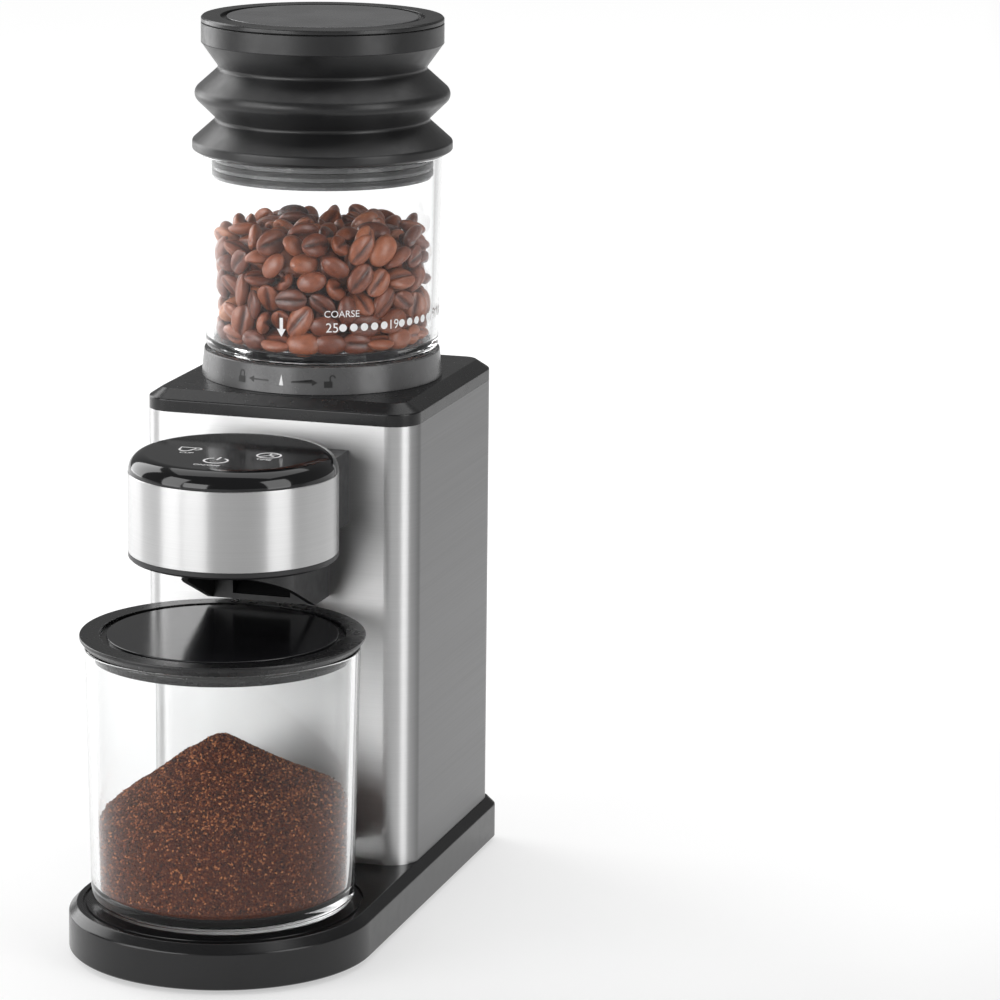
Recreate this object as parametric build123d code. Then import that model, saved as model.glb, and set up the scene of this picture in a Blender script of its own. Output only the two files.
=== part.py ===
"""Burr coffee grinder: hopper and bellows over a steel tower, canister on the base in front.

Millimetres. +Z is up, -Y is the front, and the origin is at the centre of the footprint.
Every physical piece is its own node, written to parts/NODE.step.
"""

import os
from math import atan2, cos, degrees, pi, radians, sin, sqrt, tan

from build123d import *

# Base: a half circle in front, a rounded square behind.
BASE_HALF = 55.25
BASE_FRONT_Y = -54.0
BASE_REAR_Y = 109.25
BASE_REAR_R = 9.6
BASE_TOP = 17.9
BASE_CHAMFER = 3.0
BASE_LOW = 1.8
BASE_WALL = 2.2
PLATE_LOW, PLATE_TOP = 2.6, 5.0
FOOT_R = 8.5
FOOT_SPOTS = [(-38.0, 92.0), (38.0, 92.0), (-36.0, -62.0), (36.0, -62.0)]
BASE_SCREW_SPOTS = [(-44.0, 20.0), (44.0, 20.0), (0.0, 96.0), (0.0, -92.0)]

# Tower: a steel wrap open at the back, closed by a plastic panel.
TOWER_HALF = 52.0
TOWER_FRONT_Y = 2.3
TOWER_REAR_Y = 107.5
TOWER_R = 10.7
WRAP_TOP = 182.2
WRAP_WALL = 1.0
AXIS_Y = (TOWER_FRONT_Y + TOWER_REAR_Y) / 2
BACK_SLOT_HALF = 40.0
TOP_BAND_TOP = 186.7
TOP_PLATE_TOP = 190.0
TOP_CHAMFER = 3.3
GLAND_R, GLAND_X, GLAND_Z, CORD_BORE_R = 5.9, 18.0, 32.0, 3.6

# Head, neck and chute above the canister.
HEAD_Y = -42.5
HEAD_R = 37.35
HEAD_LOW, BAND_LOW, BAND_TOP, HEAD_TOP = 141.5, 143.9, 172.8, 179.4
HEAD_EDGE_R = 6.0
BAND_WALL = 0.8
NECK_HALF, NECK_LOW = 28.0, 146.0
CABLE_HOLE_R, CABLE_HOLE_Z = 5.0, 158.0
CHUTE_HALF = 20.7
CHUTE_LOW = 118.2
CHUTE_NOSE_Y = -57.0
CHUTE_SHOULDER_Y = -35.0
CHUTE_FLOOR_END_Y = -13.0
CHUTE_WALL = 2.2
DUCT_HALF = 11.0
DUCT_LOW, DUCT_TOP = 130.2, 139.2

# Canister and its lid, standing over the base's round front.
CAN_Y = -54.0
CAN_LOW = 18.2
CAN_R_LOW, CAN_R_TOP = 47.0, 48.9
CAN_TOP = 112.5
CAN_WALL = 3.0
CAN_FLOOR = 4.0
LID_R, LID_TOP, LID_EDGE_LOW, LID_LOW = 50.66, 116.25, 115.0, 112.8
LID_SKIRT_R, LID_SKIRT_LOW = 45.2, 108.3
LID_DISC_R, LID_GROOVE_R = 41.1, 43.5

# Hopper, collar and grind adjusting ring.
COLLAR_R_LOW, COLLAR_R_TOP, COLLAR_TOP = 44.7, 43.7, 200.0
COLLAR_BORE_R = 38.0
HOPPER_LOW = 200.3
HOPPER_TOP = 272.9
HOPPER_R_LOW, HOPPER_R_TOP = 43.2, 44.15
HOPPER_WALL = 2.6
THROAT_R, THROAT_BORE_R, THROAT_LOW = 31.0, 28.4, 186.5
RING_R, RING_BORE_R, RING_LOW, RING_TOP = 37.5, 31.4, 178.0, 199.0
LUG_R, LUG_HALF = 34.0, 4.0

# Bellows on top of the hopper.
PLUG_LOW, PLUG_TOP, PLUG_R, PLUG_BORE_R = 264.2, 273.3, 40.2, 36.0
BELLOWS_TOP = 313.4
CAP_R, CAP_EDGE_LOW, CAP_TOP = 44.6, 320.6, 322.9
CAP_DISC_R, CAP_GROOVE_R = 35.2, 37.5
BELLOWS_WALL = 2.0

# Burr set, from the hopper's throat down to the gearbox.
CHAMBER_R, CHAMBER_BORE_R, CHAMBER_LOW, CHAMBER_FLOOR, CHAMBER_TOP = 37.0, 31.6, 128.0, 130.0, 177.4
CARRIER_R, CARRIER_LOW, CARRIER_TOP = 30.9, 148.0, 184.0
BURR_RING_R, BURR_RING_LOW, BURR_RING_TOP = 24.0, 150.0, 165.0
BURR_BORE_LOW, BURR_BORE_TOP = 20.6, 14.6
CONE_R_LOW, CONE_R_TOP, CONE_LOW, CONE_TOP = 18.6, 8.0, 148.5, 170.0
RING_GROOVES, CONE_GROOVES = 16, 10
SHAFT_R, SHAFT_LOW = 4.0, 95.0
IMPELLER_R, IMPELLER_LOW = 30.6, 131.0

# Gearbox and motor: a two-stage train, 12:48 and 14:42.
PRESSURE_ANGLE = 25.0
ADDENDUM, DEDENDUM = 0.8, 1.05
BACKLASH = 0.24
FIRST_MODULE, SECOND_MODULE = 0.8, 1.0
PINION_TEETH, IDLER_TEETH = 12, 48
SMALL_TEETH, OUTPUT_TEETH = 14, 42
IDLER_ANGLE, MOTOR_ANGLE = 135.0, 260.0
GEARBOX_LOW, GEARBOX_FLOOR, GEARBOX_TOP, GEARBOX_COVER_TOP = 95.0, 100.0, 119.0, 122.0
FIRST_LOW, FIRST_TOP, SECOND_LOW, SECOND_TOP = 101.0, 107.5, 108.5, 117.0
MOTOR_R, MOTOR_LOW, MOTOR_TOP = 21.0, 28.0, 95.0
BEARING_R = 11.0

CUT = 0.5  # how far a cutting solid runs past the face it cuts


def polar(radius, angle, centre=(0.0, 0.0)):
    """Point at an angle in degrees round a centre."""
    return centre[0] + radius * cos(radians(angle)), centre[1] + radius * sin(radians(angle))


IDLER_SPOT = polar(SECOND_MODULE * (SMALL_TEETH + OUTPUT_TEETH) / 2, IDLER_ANGLE, (0.0, AXIS_Y))
MOTOR_SPOT = polar(FIRST_MODULE * (PINION_TEETH + IDLER_TEETH) / 2, MOTOR_ANGLE, IDLER_SPOT)


def slab(face, low, high):
    """A flat outline drawn at Z 0, raised to run from low to high."""
    return Pos(0, 0, low) * extrude(face, high - low)


def rod(radius, low, high, spot=(0.0, 0.0)):
    """Upright round bar."""
    bar = Cylinder(radius, high - low, align=(Align.CENTER, Align.CENTER, Align.MIN))
    return Pos(spot[0], spot[1], low) * bar


def tube(radius, bore, low, high, spot=(0.0, 0.0)):
    """Upright round tube."""
    return rod(radius, low, high, spot) - rod(bore, low - CUT, high + CUT, spot)


def lying_rod(radius, y0, y1, x, z):
    """Round bar along Y."""
    return Pos(x, (y0 + y1) / 2, z) * Rot(90, 0, 0) * Cylinder(radius, y1 - y0)


def block(x0, x1, y0, y1, z0, z1):
    """Box between two corners."""
    return Pos((x0 + x1) / 2, (y0 + y1) / 2, (z0 + z1) / 2) * Box(x1 - x0, y1 - y0, z1 - z0)


def turned(points, y=0.0):
    """Solid of revolution about the upright axis at y, from (radius, z) corners."""
    outline = make_face(Plane.XZ * Polyline(*points, close=True))
    return Pos(0, y, 0) * revolve(outline, Axis.Z)


def base_outline(inset):
    """The base's outline, moved inwards."""
    half = BASE_HALF - inset
    rear = BASE_REAR_Y - inset
    square = Pos(0, (BASE_FRONT_Y + rear) / 2) * Rectangle(2 * half, rear - BASE_FRONT_Y)
    square = fillet(square.vertices().group_by(Axis.Y)[-1], max(BASE_REAR_R - inset, 1.0))
    return square + Pos(0, BASE_FRONT_Y) * Circle(half)


def tower_outline(inset):
    """The tower's rounded rectangle, moved inwards."""
    depth = TOWER_REAR_Y - TOWER_FRONT_Y
    return Pos(0, AXIS_Y) * RectangleRounded(2 * (TOWER_HALF - inset), depth - 2 * inset, TOWER_R - inset)


def save(name, *solids):
    """Write one node. Several solids stay separate within it."""
    shape = solids[0] if len(solids) == 1 else Compound(children=list(solids))
    shape.label = name
    export_step(shape, f"parts/{name}.step")


# ---------------------------------------------------------------- base


def make_base():
    """Cover, bottom plate, ballast, feet and screws."""
    ring_r = CAN_R_LOW + 2.6
    cover = slab(base_outline(0), BASE_LOW, BASE_TOP)
    cover = chamfer(cover.faces().sort_by(Axis.Z)[-1].edges(), BASE_CHAMFER)
    cover -= slab(base_outline(BASE_WALL), BASE_LOW - CUT, BASE_TOP - 3.2)
    cover -= tube(ring_r + 0.6, ring_r - 0.6, BASE_TOP - 0.8, BASE_TOP + CUT, (0, CAN_Y))
    for x, y in BASE_SCREW_SPOTS:
        cover += rod(4.0, PLATE_TOP, BASE_TOP - 3.0, (x, y))
        cover -= rod(1.4, PLATE_TOP - CUT, BASE_TOP - 4.5, (x, y))
    save("base_cover", cover)

    plate = slab(base_outline(BASE_WALL + 0.2), PLATE_LOW, PLATE_TOP)
    for x, y in BASE_SCREW_SPOTS:
        plate -= rod(1.8, PLATE_LOW - CUT, PLATE_TOP + CUT, (x, y))
        plate -= rod(3.6, PLATE_LOW - CUT, PLATE_LOW + 1.0, (x, y))
    for x, y in FOOT_SPOTS:
        plate -= rod(3.0, PLATE_LOW - CUT, PLATE_TOP + CUT, (x, y))
    save("base_bottom_plate", plate)

    ballast = slab(Pos(0, CAN_Y) * Circle(32.0), PLATE_TOP, PLATE_TOP + 4.0)
    save("base_ballast", ballast - rod(5.0, PLATE_TOP - CUT, BASE_TOP, (0, CAN_Y)))

    feet = []
    for x, y in FOOT_SPOTS:
        pad = rod(FOOT_R, 0, PLATE_LOW, (x, y))
        pad = chamfer(pad.edges().sort_by(Axis.Z)[0], 0.6)
        feet.append(pad + rod(2.9, PLATE_LOW, PLATE_TOP, (x, y)))
    save("rubber_feet", *feet)

    screws = []
    for x, y in BASE_SCREW_SPOTS:
        screws.append(rod(3.3, PLATE_LOW - 0.6, PLATE_LOW + 1.0, (x, y)) + rod(1.4, PLATE_LOW, 12.5, (x, y)))
    save("base_screws", *screws)


# ---------------------------------------------------------------- tower


def make_tower():
    """Steel wrap, back panel, gland, top plate and the chassis inside."""
    low, high = BASE_TOP - CUT, WRAP_TOP + CUT
    wrap = slab(tower_outline(0), BASE_TOP, WRAP_TOP) - slab(tower_outline(WRAP_WALL), low, high)
    wrap -= block(-BACK_SLOT_HALF, BACK_SLOT_HALF, TOWER_REAR_Y - 4, TOWER_REAR_Y + CUT, low, high)
    duct_half = DUCT_HALF + 3
    window_low, window_top = DUCT_LOW - 2.2, DUCT_TOP + 2.2
    wrap -= block(-duct_half, duct_half, TOWER_FRONT_Y - CUT, TOWER_FRONT_Y + 2, window_low, window_top)
    wrap -= lying_rod(CABLE_HOLE_R, TOWER_FRONT_Y - 2, TOWER_FRONT_Y + 2, 0, CABLE_HOLE_Z)
    save("housing_wrap", wrap)

    half = BACK_SLOT_HALF - 0.2
    panel = block(-half, half, TOWER_REAR_Y - 2.6, TOWER_REAR_Y, BASE_TOP, WRAP_TOP)
    panel += block(-41, 41, TOWER_REAR_Y - 3.4, TOWER_REAR_Y - WRAP_WALL, BASE_TOP, WRAP_TOP)
    for side in (-1, 1):
        for row in range(9):
            z = 112.0 + row * 6.0
            panel -= block(side * 18 - 12, side * 18 + 12, TOWER_REAR_Y - 5, TOWER_REAR_Y + CUT, z, z + 2.4)
    panel -= lying_rod(GLAND_R + 0.1, TOWER_REAR_Y - 6, TOWER_REAR_Y + 2, GLAND_X, GLAND_Z)
    save("back_panel", panel)

    gland = lying_rod(GLAND_R, TOWER_REAR_Y - 6.6, TOWER_REAR_Y + 1.6, GLAND_X, GLAND_Z)
    gland += lying_rod(GLAND_R + 3.1, TOWER_REAR_Y, TOWER_REAR_Y + 1.6, GLAND_X, GLAND_Z)
    gland -= lying_rod(CORD_BORE_R, TOWER_REAR_Y - 10, TOWER_REAR_Y + 10, GLAND_X, GLAND_Z)
    save("cord_gland", gland)

    screws = []
    for x in (-34.0, 34.0):
        for z in (26.0, 174.0):
            head = lying_rod(2.8, TOWER_REAR_Y, TOWER_REAR_Y + 1.0, x, z)
            head -= block(x - 1.6, x + 1.6, TOWER_REAR_Y + 0.4, TOWER_REAR_Y + 2, z - 0.35, z + 0.35)
            head -= block(x - 0.35, x + 0.35, TOWER_REAR_Y + 0.4, TOWER_REAR_Y + 2, z - 1.6, z + 1.6)
            screws.append(head)
    save("back_screws", *screws)

    top = slab(tower_outline(0), WRAP_TOP, TOP_PLATE_TOP)
    top = chamfer(top.faces().sort_by(Axis.Z)[-1].edges(), TOP_CHAMFER, 5.0)
    top -= rod(COLLAR_BORE_R, WRAP_TOP - CUT, TOP_PLATE_TOP + CUT, (0, AXIS_Y))
    save("top_plate", top)

    low_ring = [(COLLAR_BORE_R, TOP_PLATE_TOP), (COLLAR_R_LOW, TOP_PLATE_TOP)]
    high_ring = [(COLLAR_R_TOP, COLLAR_TOP), (COLLAR_BORE_R, COLLAR_TOP)]
    save("hopper_collar", turned(low_ring + high_ring, AXIS_Y))

    chassis = slab(tower_outline(1.4), BASE_TOP + 0.1, BASE_TOP + 3.0)
    chassis -= block(-60, 60, TOWER_REAR_Y - 3.6, TOWER_REAR_Y, BASE_TOP, BASE_TOP + 4)
    for x in (-41.0, 41.0):
        for y in (14.5, 95.0):
            chassis += rod(4.5, BASE_TOP + 1, GEARBOX_LOW, (x, y))
            chassis += rod(4.5, GEARBOX_COVER_TOP, WRAP_TOP - 0.1, (x, y))
    chassis_solids = chassis.solids()
    posts = [solid for solid in chassis_solids if solid.bounding_box().min.Z > GEARBOX_LOW]
    frame = [solid for solid in chassis_solids if solid.bounding_box().min.Z < GEARBOX_LOW]
    save("motor_chassis", *frame)
    save("upper_posts", *posts)


# ---------------------------------------------------------------- head and chute


def make_head():
    """Round head with its steel band, glossy touch cap, underside and neck."""
    spot = (0.0, HEAD_Y)
    save("head_band", tube(HEAD_R, HEAD_R - BAND_WALL, BAND_LOW, BAND_TOP, spot))

    drum_r = HEAD_R - BAND_WALL
    drum = tube(drum_r, drum_r - 2.2, BAND_LOW, BAND_TOP, spot)
    for angle in (50, 130, 230, 310):
        drum += rod(3.2, BAND_LOW, BAND_TOP - 3.0, polar(drum_r - 4.6, angle, spot))
    save("head_drum", drum)

    under = rod(HEAD_R, HEAD_LOW, BAND_LOW, spot)
    under = chamfer(under.edges().sort_by(Axis.Z)[0], 0.8)
    mouth_y = CHUTE_NOSE_Y + CHUTE_WALL + 1
    under -= block(-DUCT_HALF, DUCT_HALF, mouth_y, CHUTE_FLOOR_END_Y - 8, HEAD_LOW + 1.2, BAND_LOW + CUT)
    save("head_underside", under)

    cap = rod(HEAD_R, BAND_TOP, HEAD_TOP, spot)
    cap = fillet(cap.edges().sort_by(Axis.Z)[-1], HEAD_EDGE_R)
    cap -= rod(HEAD_R - 7.5, BAND_TOP - CUT, HEAD_TOP - 2.0, spot)
    save("head_touch_cap", cap)

    board = rod(28.0, BAND_TOP - 2.6, BAND_TOP - 1.0, spot)
    for x, y in ((-15.5, -47.0), (0.0, -58.0), (14.5, -45.5)):
        board += rod(5.0, BAND_TOP - 1.0, HEAD_TOP - 2.2, (x, y))
    save("touch_board", board)

    neck = block(-NECK_HALF, NECK_HALF, HEAD_Y, TOWER_FRONT_Y, NECK_LOW, BAND_TOP)
    neck += block(-CHUTE_HALF, CHUTE_HALF, -12.0, TOWER_FRONT_Y, HEAD_LOW, NECK_LOW)
    neck -= rod(HEAD_R + 0.02, 140.0, BAND_TOP + CUT, spot)
    neck -= lying_rod(CABLE_HOLE_R, -20, TOWER_FRONT_Y + 5, 0, CABLE_HOLE_Z)
    save("head_neck", neck)


def chute_outline(inset):
    """Chute seen from above: straight sides and a rounded nose."""
    half = CHUTE_HALF - inset
    nose = CHUTE_NOSE_Y + inset
    start, rear = (half, CHUTE_SHOULDER_Y), TOWER_FRONT_Y
    sides = Polyline(start, (half, rear), (-half, rear), (-half, CHUTE_SHOULDER_Y))
    front = ThreePointArc((-half, CHUTE_SHOULDER_Y), (0, nose), start)
    return make_face(Wire([*sides.edges(), front]))


def side_cut(points, half):
    """Solid between -half and half on X, from a side view of (y, z) corners."""
    return Pos(-half, 0, 0) * extrude(Plane.YZ * make_face(Polyline(*points, close=True)), 2 * half)


def make_chute():
    """Duct that carries the grounds forward and drops them through a slanting mouth."""
    end = CHUTE_FLOOR_END_Y
    roof = HEAD_LOW - CHUTE_WALL
    duct = slab(chute_outline(0), CHUTE_LOW, HEAD_LOW)
    room = slab(chute_outline(CHUTE_WALL), CHUTE_LOW - CUT, roof)
    duct -= room & block(-50, 50, -70, end, 100, 150)
    duct -= block(-DUCT_HALF, DUCT_HALF, end - 1, TOWER_FRONT_Y + CUT, DUCT_LOW, DUCT_TOP)
    ramp = [(end + 1.5, CHUTE_LOW + 2), (0, DUCT_LOW), (end - 1, DUCT_LOW), (end - 1, CHUTE_LOW + 2)]
    duct -= side_cut(ramp, DUCT_HALF)
    mouth = [(end, CHUTE_LOW), (-66, HEAD_LOW), (-66, CHUTE_LOW - 1), (end, CHUTE_LOW - 1)]
    duct -= side_cut(mouth, 30)
    save("chute", duct)


# ---------------------------------------------------------------- canister


def make_canister():
    """Clear canister, lid, inset disc and sealing ring."""
    at = (0.0, CAN_Y)
    foot = [(0, CAN_LOW), (CAN_R_LOW - 4, CAN_LOW), (CAN_R_LOW, CAN_LOW + 4)]
    outer = turned(foot + [(CAN_R_TOP, CAN_TOP), (0, CAN_TOP)], CAN_Y)
    floor_z = CAN_LOW + CAN_FLOOR
    floor_r = CAN_R_LOW - CAN_WALL
    rim_r = CAN_R_TOP - CAN_WALL
    hollow = [(0, floor_z), (floor_r - 4, floor_z), (floor_r, floor_z + 4), (rim_r, CAN_TOP)]
    above = [(rim_r, CAN_TOP + 1), (0, CAN_TOP + 1)]
    save("canister", outer - turned(hollow + above, CAN_Y))

    skirt_in = LID_SKIRT_R - 2.5
    under = [(0, LID_SKIRT_LOW + 3.5), (skirt_in, LID_SKIRT_LOW + 3.5), (skirt_in, LID_SKIRT_LOW)]
    skirt = [(LID_SKIRT_R, LID_SKIRT_LOW), (LID_SKIRT_R, LID_LOW), (LID_R - 1.6, LID_LOW)]
    rim = [(LID_R, LID_EDGE_LOW), (LID_R, LID_TOP - 0.4), (LID_R - 0.4, LID_TOP), (0, LID_TOP)]
    lid = turned(under + skirt + rim, CAN_Y)
    lid -= rod(LID_GROOVE_R, LID_TOP - 1.2, LID_TOP + CUT, at)
    lid += rod(LID_DISC_R, LID_TOP - 1.3, LID_TOP - 0.8, at)
    for turn in range(6):
        angle = 60 * turn + 15
        lid -= Pos(*polar(LID_SKIRT_R - 1.2, angle, at), LID_SKIRT_LOW) * Rot(0, 0, angle) * Box(4, 5, 3)
    lid -= tube(LID_SKIRT_R + CUT, LID_SKIRT_R - 1.0, 110.0, 111.6, at)
    save("canister_lid", lid)

    disc = rod(LID_DISC_R, LID_TOP - 0.8, LID_TOP - 0.1, at)
    save("canister_lid_disc", chamfer(disc.edges().sort_by(Axis.Z)[-1], 0.3))
    save("canister_lid_seal", tube(LID_SKIRT_R + 0.25, LID_SKIRT_R - 1.0, 110.0, 111.6, at))


# ---------------------------------------------------------------- hopper and bellows


def make_hopper():
    """Clear hopper with its funnel floor and bayonet throat, and the ring that it turns."""
    at = (0.0, AXIS_Y)
    bore_low, bore_top = HOPPER_R_LOW - HOPPER_WALL, HOPPER_R_TOP - HOPPER_WALL
    throat = [(THROAT_BORE_R, THROAT_LOW), (THROAT_R, THROAT_LOW), (THROAT_R, HOPPER_LOW)]
    wall = [(HOPPER_R_LOW, HOPPER_LOW), (HOPPER_R_TOP, HOPPER_TOP), (bore_top, HOPPER_TOP)]
    funnel = [(bore_low, HOPPER_LOW + 8.0), (THROAT_BORE_R, HOPPER_LOW + 2.6)]
    hopper = turned(throat + wall + funnel, AXIS_Y)
    lug_length = 2 * (LUG_R - THROAT_R - 0.8)
    for side in (0, 180):
        lug_spot = polar(THROAT_R + 0.8, side, at)
        hopper += Pos(*lug_spot, THROAT_LOW + 3) * Box(lug_length, 2 * LUG_HALF, 4)
    magnet = rod(2.0, HOPPER_LOW, HOPPER_LOW + 1.5, polar(36.0, 90, at))
    save("hopper", hopper - magnet)
    save("hopper_magnet", magnet)

    ring = tube(RING_R, RING_BORE_R, RING_LOW, RING_TOP, at)
    for side in (0, 180):
        slot_spot = polar(RING_BORE_R, side, at)
        slot_box = Box(6.4, 2 * LUG_HALF + 0.8, RING_TOP - THROAT_LOW + 1)
        ring -= Pos(*slot_spot, (THROAT_LOW + RING_TOP) / 2) * slot_box
    save("grind_adjust_ring", ring)


def make_bellows():
    """Plug, folded silicone bellows, and the cap that the hand presses."""
    at = (0.0, AXIS_Y)
    plug = tube(PLUG_R, PLUG_BORE_R, PLUG_LOW, PLUG_TOP, at)
    for z in (265.6, 268.8):
        plug -= tube(PLUG_R + CUT, PLUG_R - 1.0, z, z + 1.6, at)
    save("bellows_plug", plug)
    for index, z in enumerate((265.6, 268.8)):
        save(f"bellows_seal_{index + 1}", tube(PLUG_R + 0.7, PLUG_R - 1.0, z, z + 1.6, at))

    flange = [(46.5, PLUG_TOP), (48.0, 274.2), (48.0, 277.4)]
    folds = flange + [(39.3, 285.3), (48.0, 293.4), (48.0, 295.8), (38.3, 304.1), (CAP_R, BELLOWS_TOP)]
    inside = [(max(r - BELLOWS_WALL - 0.6, PLUG_BORE_R + 0.2), z) for r, z in reversed(folds)]
    save("bellows", turned(folds + inside, AXIS_Y))

    save("bellows_collar", tube(CAP_R, 36.5, BELLOWS_TOP, CAP_EDGE_LOW, at))

    cap = rod(CAP_R, CAP_EDGE_LOW, CAP_TOP, at)
    cap = chamfer(cap.edges().sort_by(Axis.Z)[-1], 0.5)
    cap -= rod(CAP_GROOVE_R, CAP_TOP - 1.2, CAP_TOP + CUT, at)
    save("bellows_cap", cap)
    disc = rod(CAP_DISC_R, CAP_TOP - 1.2, CAP_TOP - 0.1, at)
    save("bellows_cap_disc", chamfer(disc.edges().sort_by(Axis.Z)[-1], 0.3))


# ---------------------------------------------------------------- burr set


def make_burrs():
    """Chamber, outlet duct, carrier, both burrs, impeller, shaft, nut and bearings."""
    at = (0.0, AXIS_Y)
    chamber = tube(CHAMBER_R, CHAMBER_BORE_R, CHAMBER_LOW, CHAMBER_TOP, at)
    chamber += rod(CHAMBER_R, CHAMBER_LOW, CHAMBER_FLOOR, at)
    chamber -= rod(8.0, CHAMBER_LOW - CUT, CHAMBER_FLOOR + CUT, at)
    front = AXIS_Y - CHAMBER_R
    chamber -= block(-DUCT_HALF, DUCT_HALF, front - CUT, AXIS_Y - 20, CHAMBER_FLOOR, DUCT_TOP)
    for side in (-1, 1):
        chamber += block(side * 31.5 - 1.5, side * 31.5 + 1.5, AXIS_Y - 2, AXIS_Y + 2, 150, 174)
    save("burr_chamber", chamber)

    duct = block(-DUCT_HALF - 2, DUCT_HALF + 2, TOWER_FRONT_Y, AXIS_Y - 30, CHAMBER_LOW, DUCT_TOP + 2)
    duct -= rod(CHAMBER_R, CHAMBER_LOW - CUT, DUCT_TOP + 4, at)
    duct -= block(-DUCT_HALF, DUCT_HALF, TOWER_FRONT_Y - CUT, AXIS_Y, DUCT_LOW, DUCT_TOP)
    save("outlet_duct", duct)

    holder = [(BURR_RING_R, CARRIER_LOW), (CARRIER_R, CARRIER_LOW), (CARRIER_R, CARRIER_TOP)]
    funnel = [(28.0, CARRIER_TOP), (17.0, BURR_RING_TOP + 2), (17.0, BURR_RING_TOP)]
    carrier = turned(holder + funnel + [(BURR_RING_R, BURR_RING_TOP)], AXIS_Y)
    for side in (-1, 1):
        carrier -= block(side * 31 - 2, side * 31 + 2, AXIS_Y - 2.3, AXIS_Y + 2.3, 140, 176)
    save("burr_carrier", carrier)

    bore = [(BURR_BORE_TOP, BURR_RING_TOP), (BURR_BORE_LOW, BURR_RING_LOW)]
    ring = turned(bore + [(BURR_RING_R, BURR_RING_LOW), (BURR_RING_R, BURR_RING_TOP)], AXIS_Y)
    for turn in range(RING_GROOVES):
        angle = 360 / RING_GROOVES * turn
        groove = Rot(0, 0, angle) * Rot(0, -22, 0) * Box(2.6, 1.6, 20)
        ring -= Pos(*polar(18.6, angle, at), 157.5) * groove
    save("upper_burr", ring)

    skin = [(CONE_R_LOW, CONE_LOW), (CONE_R_LOW, 151.0), (12.2, 165.0), (CONE_R_TOP, CONE_TOP)]
    cone = turned([(SHAFT_R, CONE_LOW), *skin, (SHAFT_R, CONE_TOP)], AXIS_Y)
    for turn in range(CONE_GROOVES):
        angle = 360 / CONE_GROOVES * turn
        groove = Rot(0, 0, angle) * Rot(24, -24, 0) * Box(2.4, 2.0, 26)
        cone -= Pos(*polar(15.3, angle, at), 159.0) * groove
    save("lower_burr", cone)

    paddle = tube(8.0, SHAFT_R, IMPELLER_LOW, CONE_LOW, at)
    paddle += tube(IMPELLER_R, SHAFT_R, IMPELLER_LOW, IMPELLER_LOW + 1.6, at)
    for turn in range(4):
        paddle += Pos(*polar(18.5, turn * 90, at), IMPELLER_LOW + 4.0) * Rot(0, 0, turn * 90) * Box(24, 2, 8)
    save("impeller", paddle)

    save("burr_shaft", rod(SHAFT_R, SHAFT_LOW, CONE_TOP + 4.0, at))
    dome = [(SHAFT_R, CONE_TOP), (7.0, CONE_TOP), (5.0, CONE_TOP + 4.5), (0, CONE_TOP + 7.0)]
    save("burr_nut", turned(dome + [(0, CONE_TOP + 4.0), (SHAFT_R, CONE_TOP + 4.0)], AXIS_Y))
    save("chamber_seal", tube(8.0, SHAFT_R + 0.06, CHAMBER_LOW, CHAMBER_FLOOR, at))
    save("upper_bearing", tube(BEARING_R, SHAFT_R + 0.06, GEARBOX_TOP + 0.5, 126.0, at))
    save("lower_bearing", tube(8.0, SHAFT_R + 0.06, GEARBOX_LOW, GEARBOX_FLOOR, at))


# ---------------------------------------------------------------- gearbox and motor


def involute_gear(module, teeth, low, high, tooth_angle, spot):
    """Spur gear with one tooth centred on tooth_angle, in degrees."""
    pitch_r = module * teeth / 2
    base_r = pitch_r * cos(radians(PRESSURE_ANGLE))
    tip_r = pitch_r + ADDENDUM * module
    root_r = pitch_r - DEDENDUM * module
    start_r = max(base_r, root_r)
    roll = tan(radians(PRESSURE_ANGLE)) - radians(PRESSURE_ANGLE)
    half_tooth = (pi * module / 2 - BACKLASH) / (2 * pitch_r)
    flank = []
    for step in range(5):
        radius = start_r + (tip_r - start_r) * step / 4
        lean = sqrt(max((radius / base_r) ** 2 - 1, 0.0))
        flank.append((radius, half_tooth + roll - (lean - atan2(lean, 1.0))))
    root_half = flank[0][1]
    outline = []
    for tooth in range(teeth):
        middle = radians(tooth_angle) + 2 * pi * tooth / teeth
        side = [(root_r, root_half), *flank] if root_r < start_r else flank
        outline += [(radius, middle - half) for radius, half in side]
        outline += [(radius, middle + half) for radius, half in reversed(side)]
    points = [(radius * cos(angle), radius * sin(angle)) for radius, angle in outline]
    return Pos(spot[0], spot[1], 0) * slab(make_face(Polyline(*points, close=True)), low, high)


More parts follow.
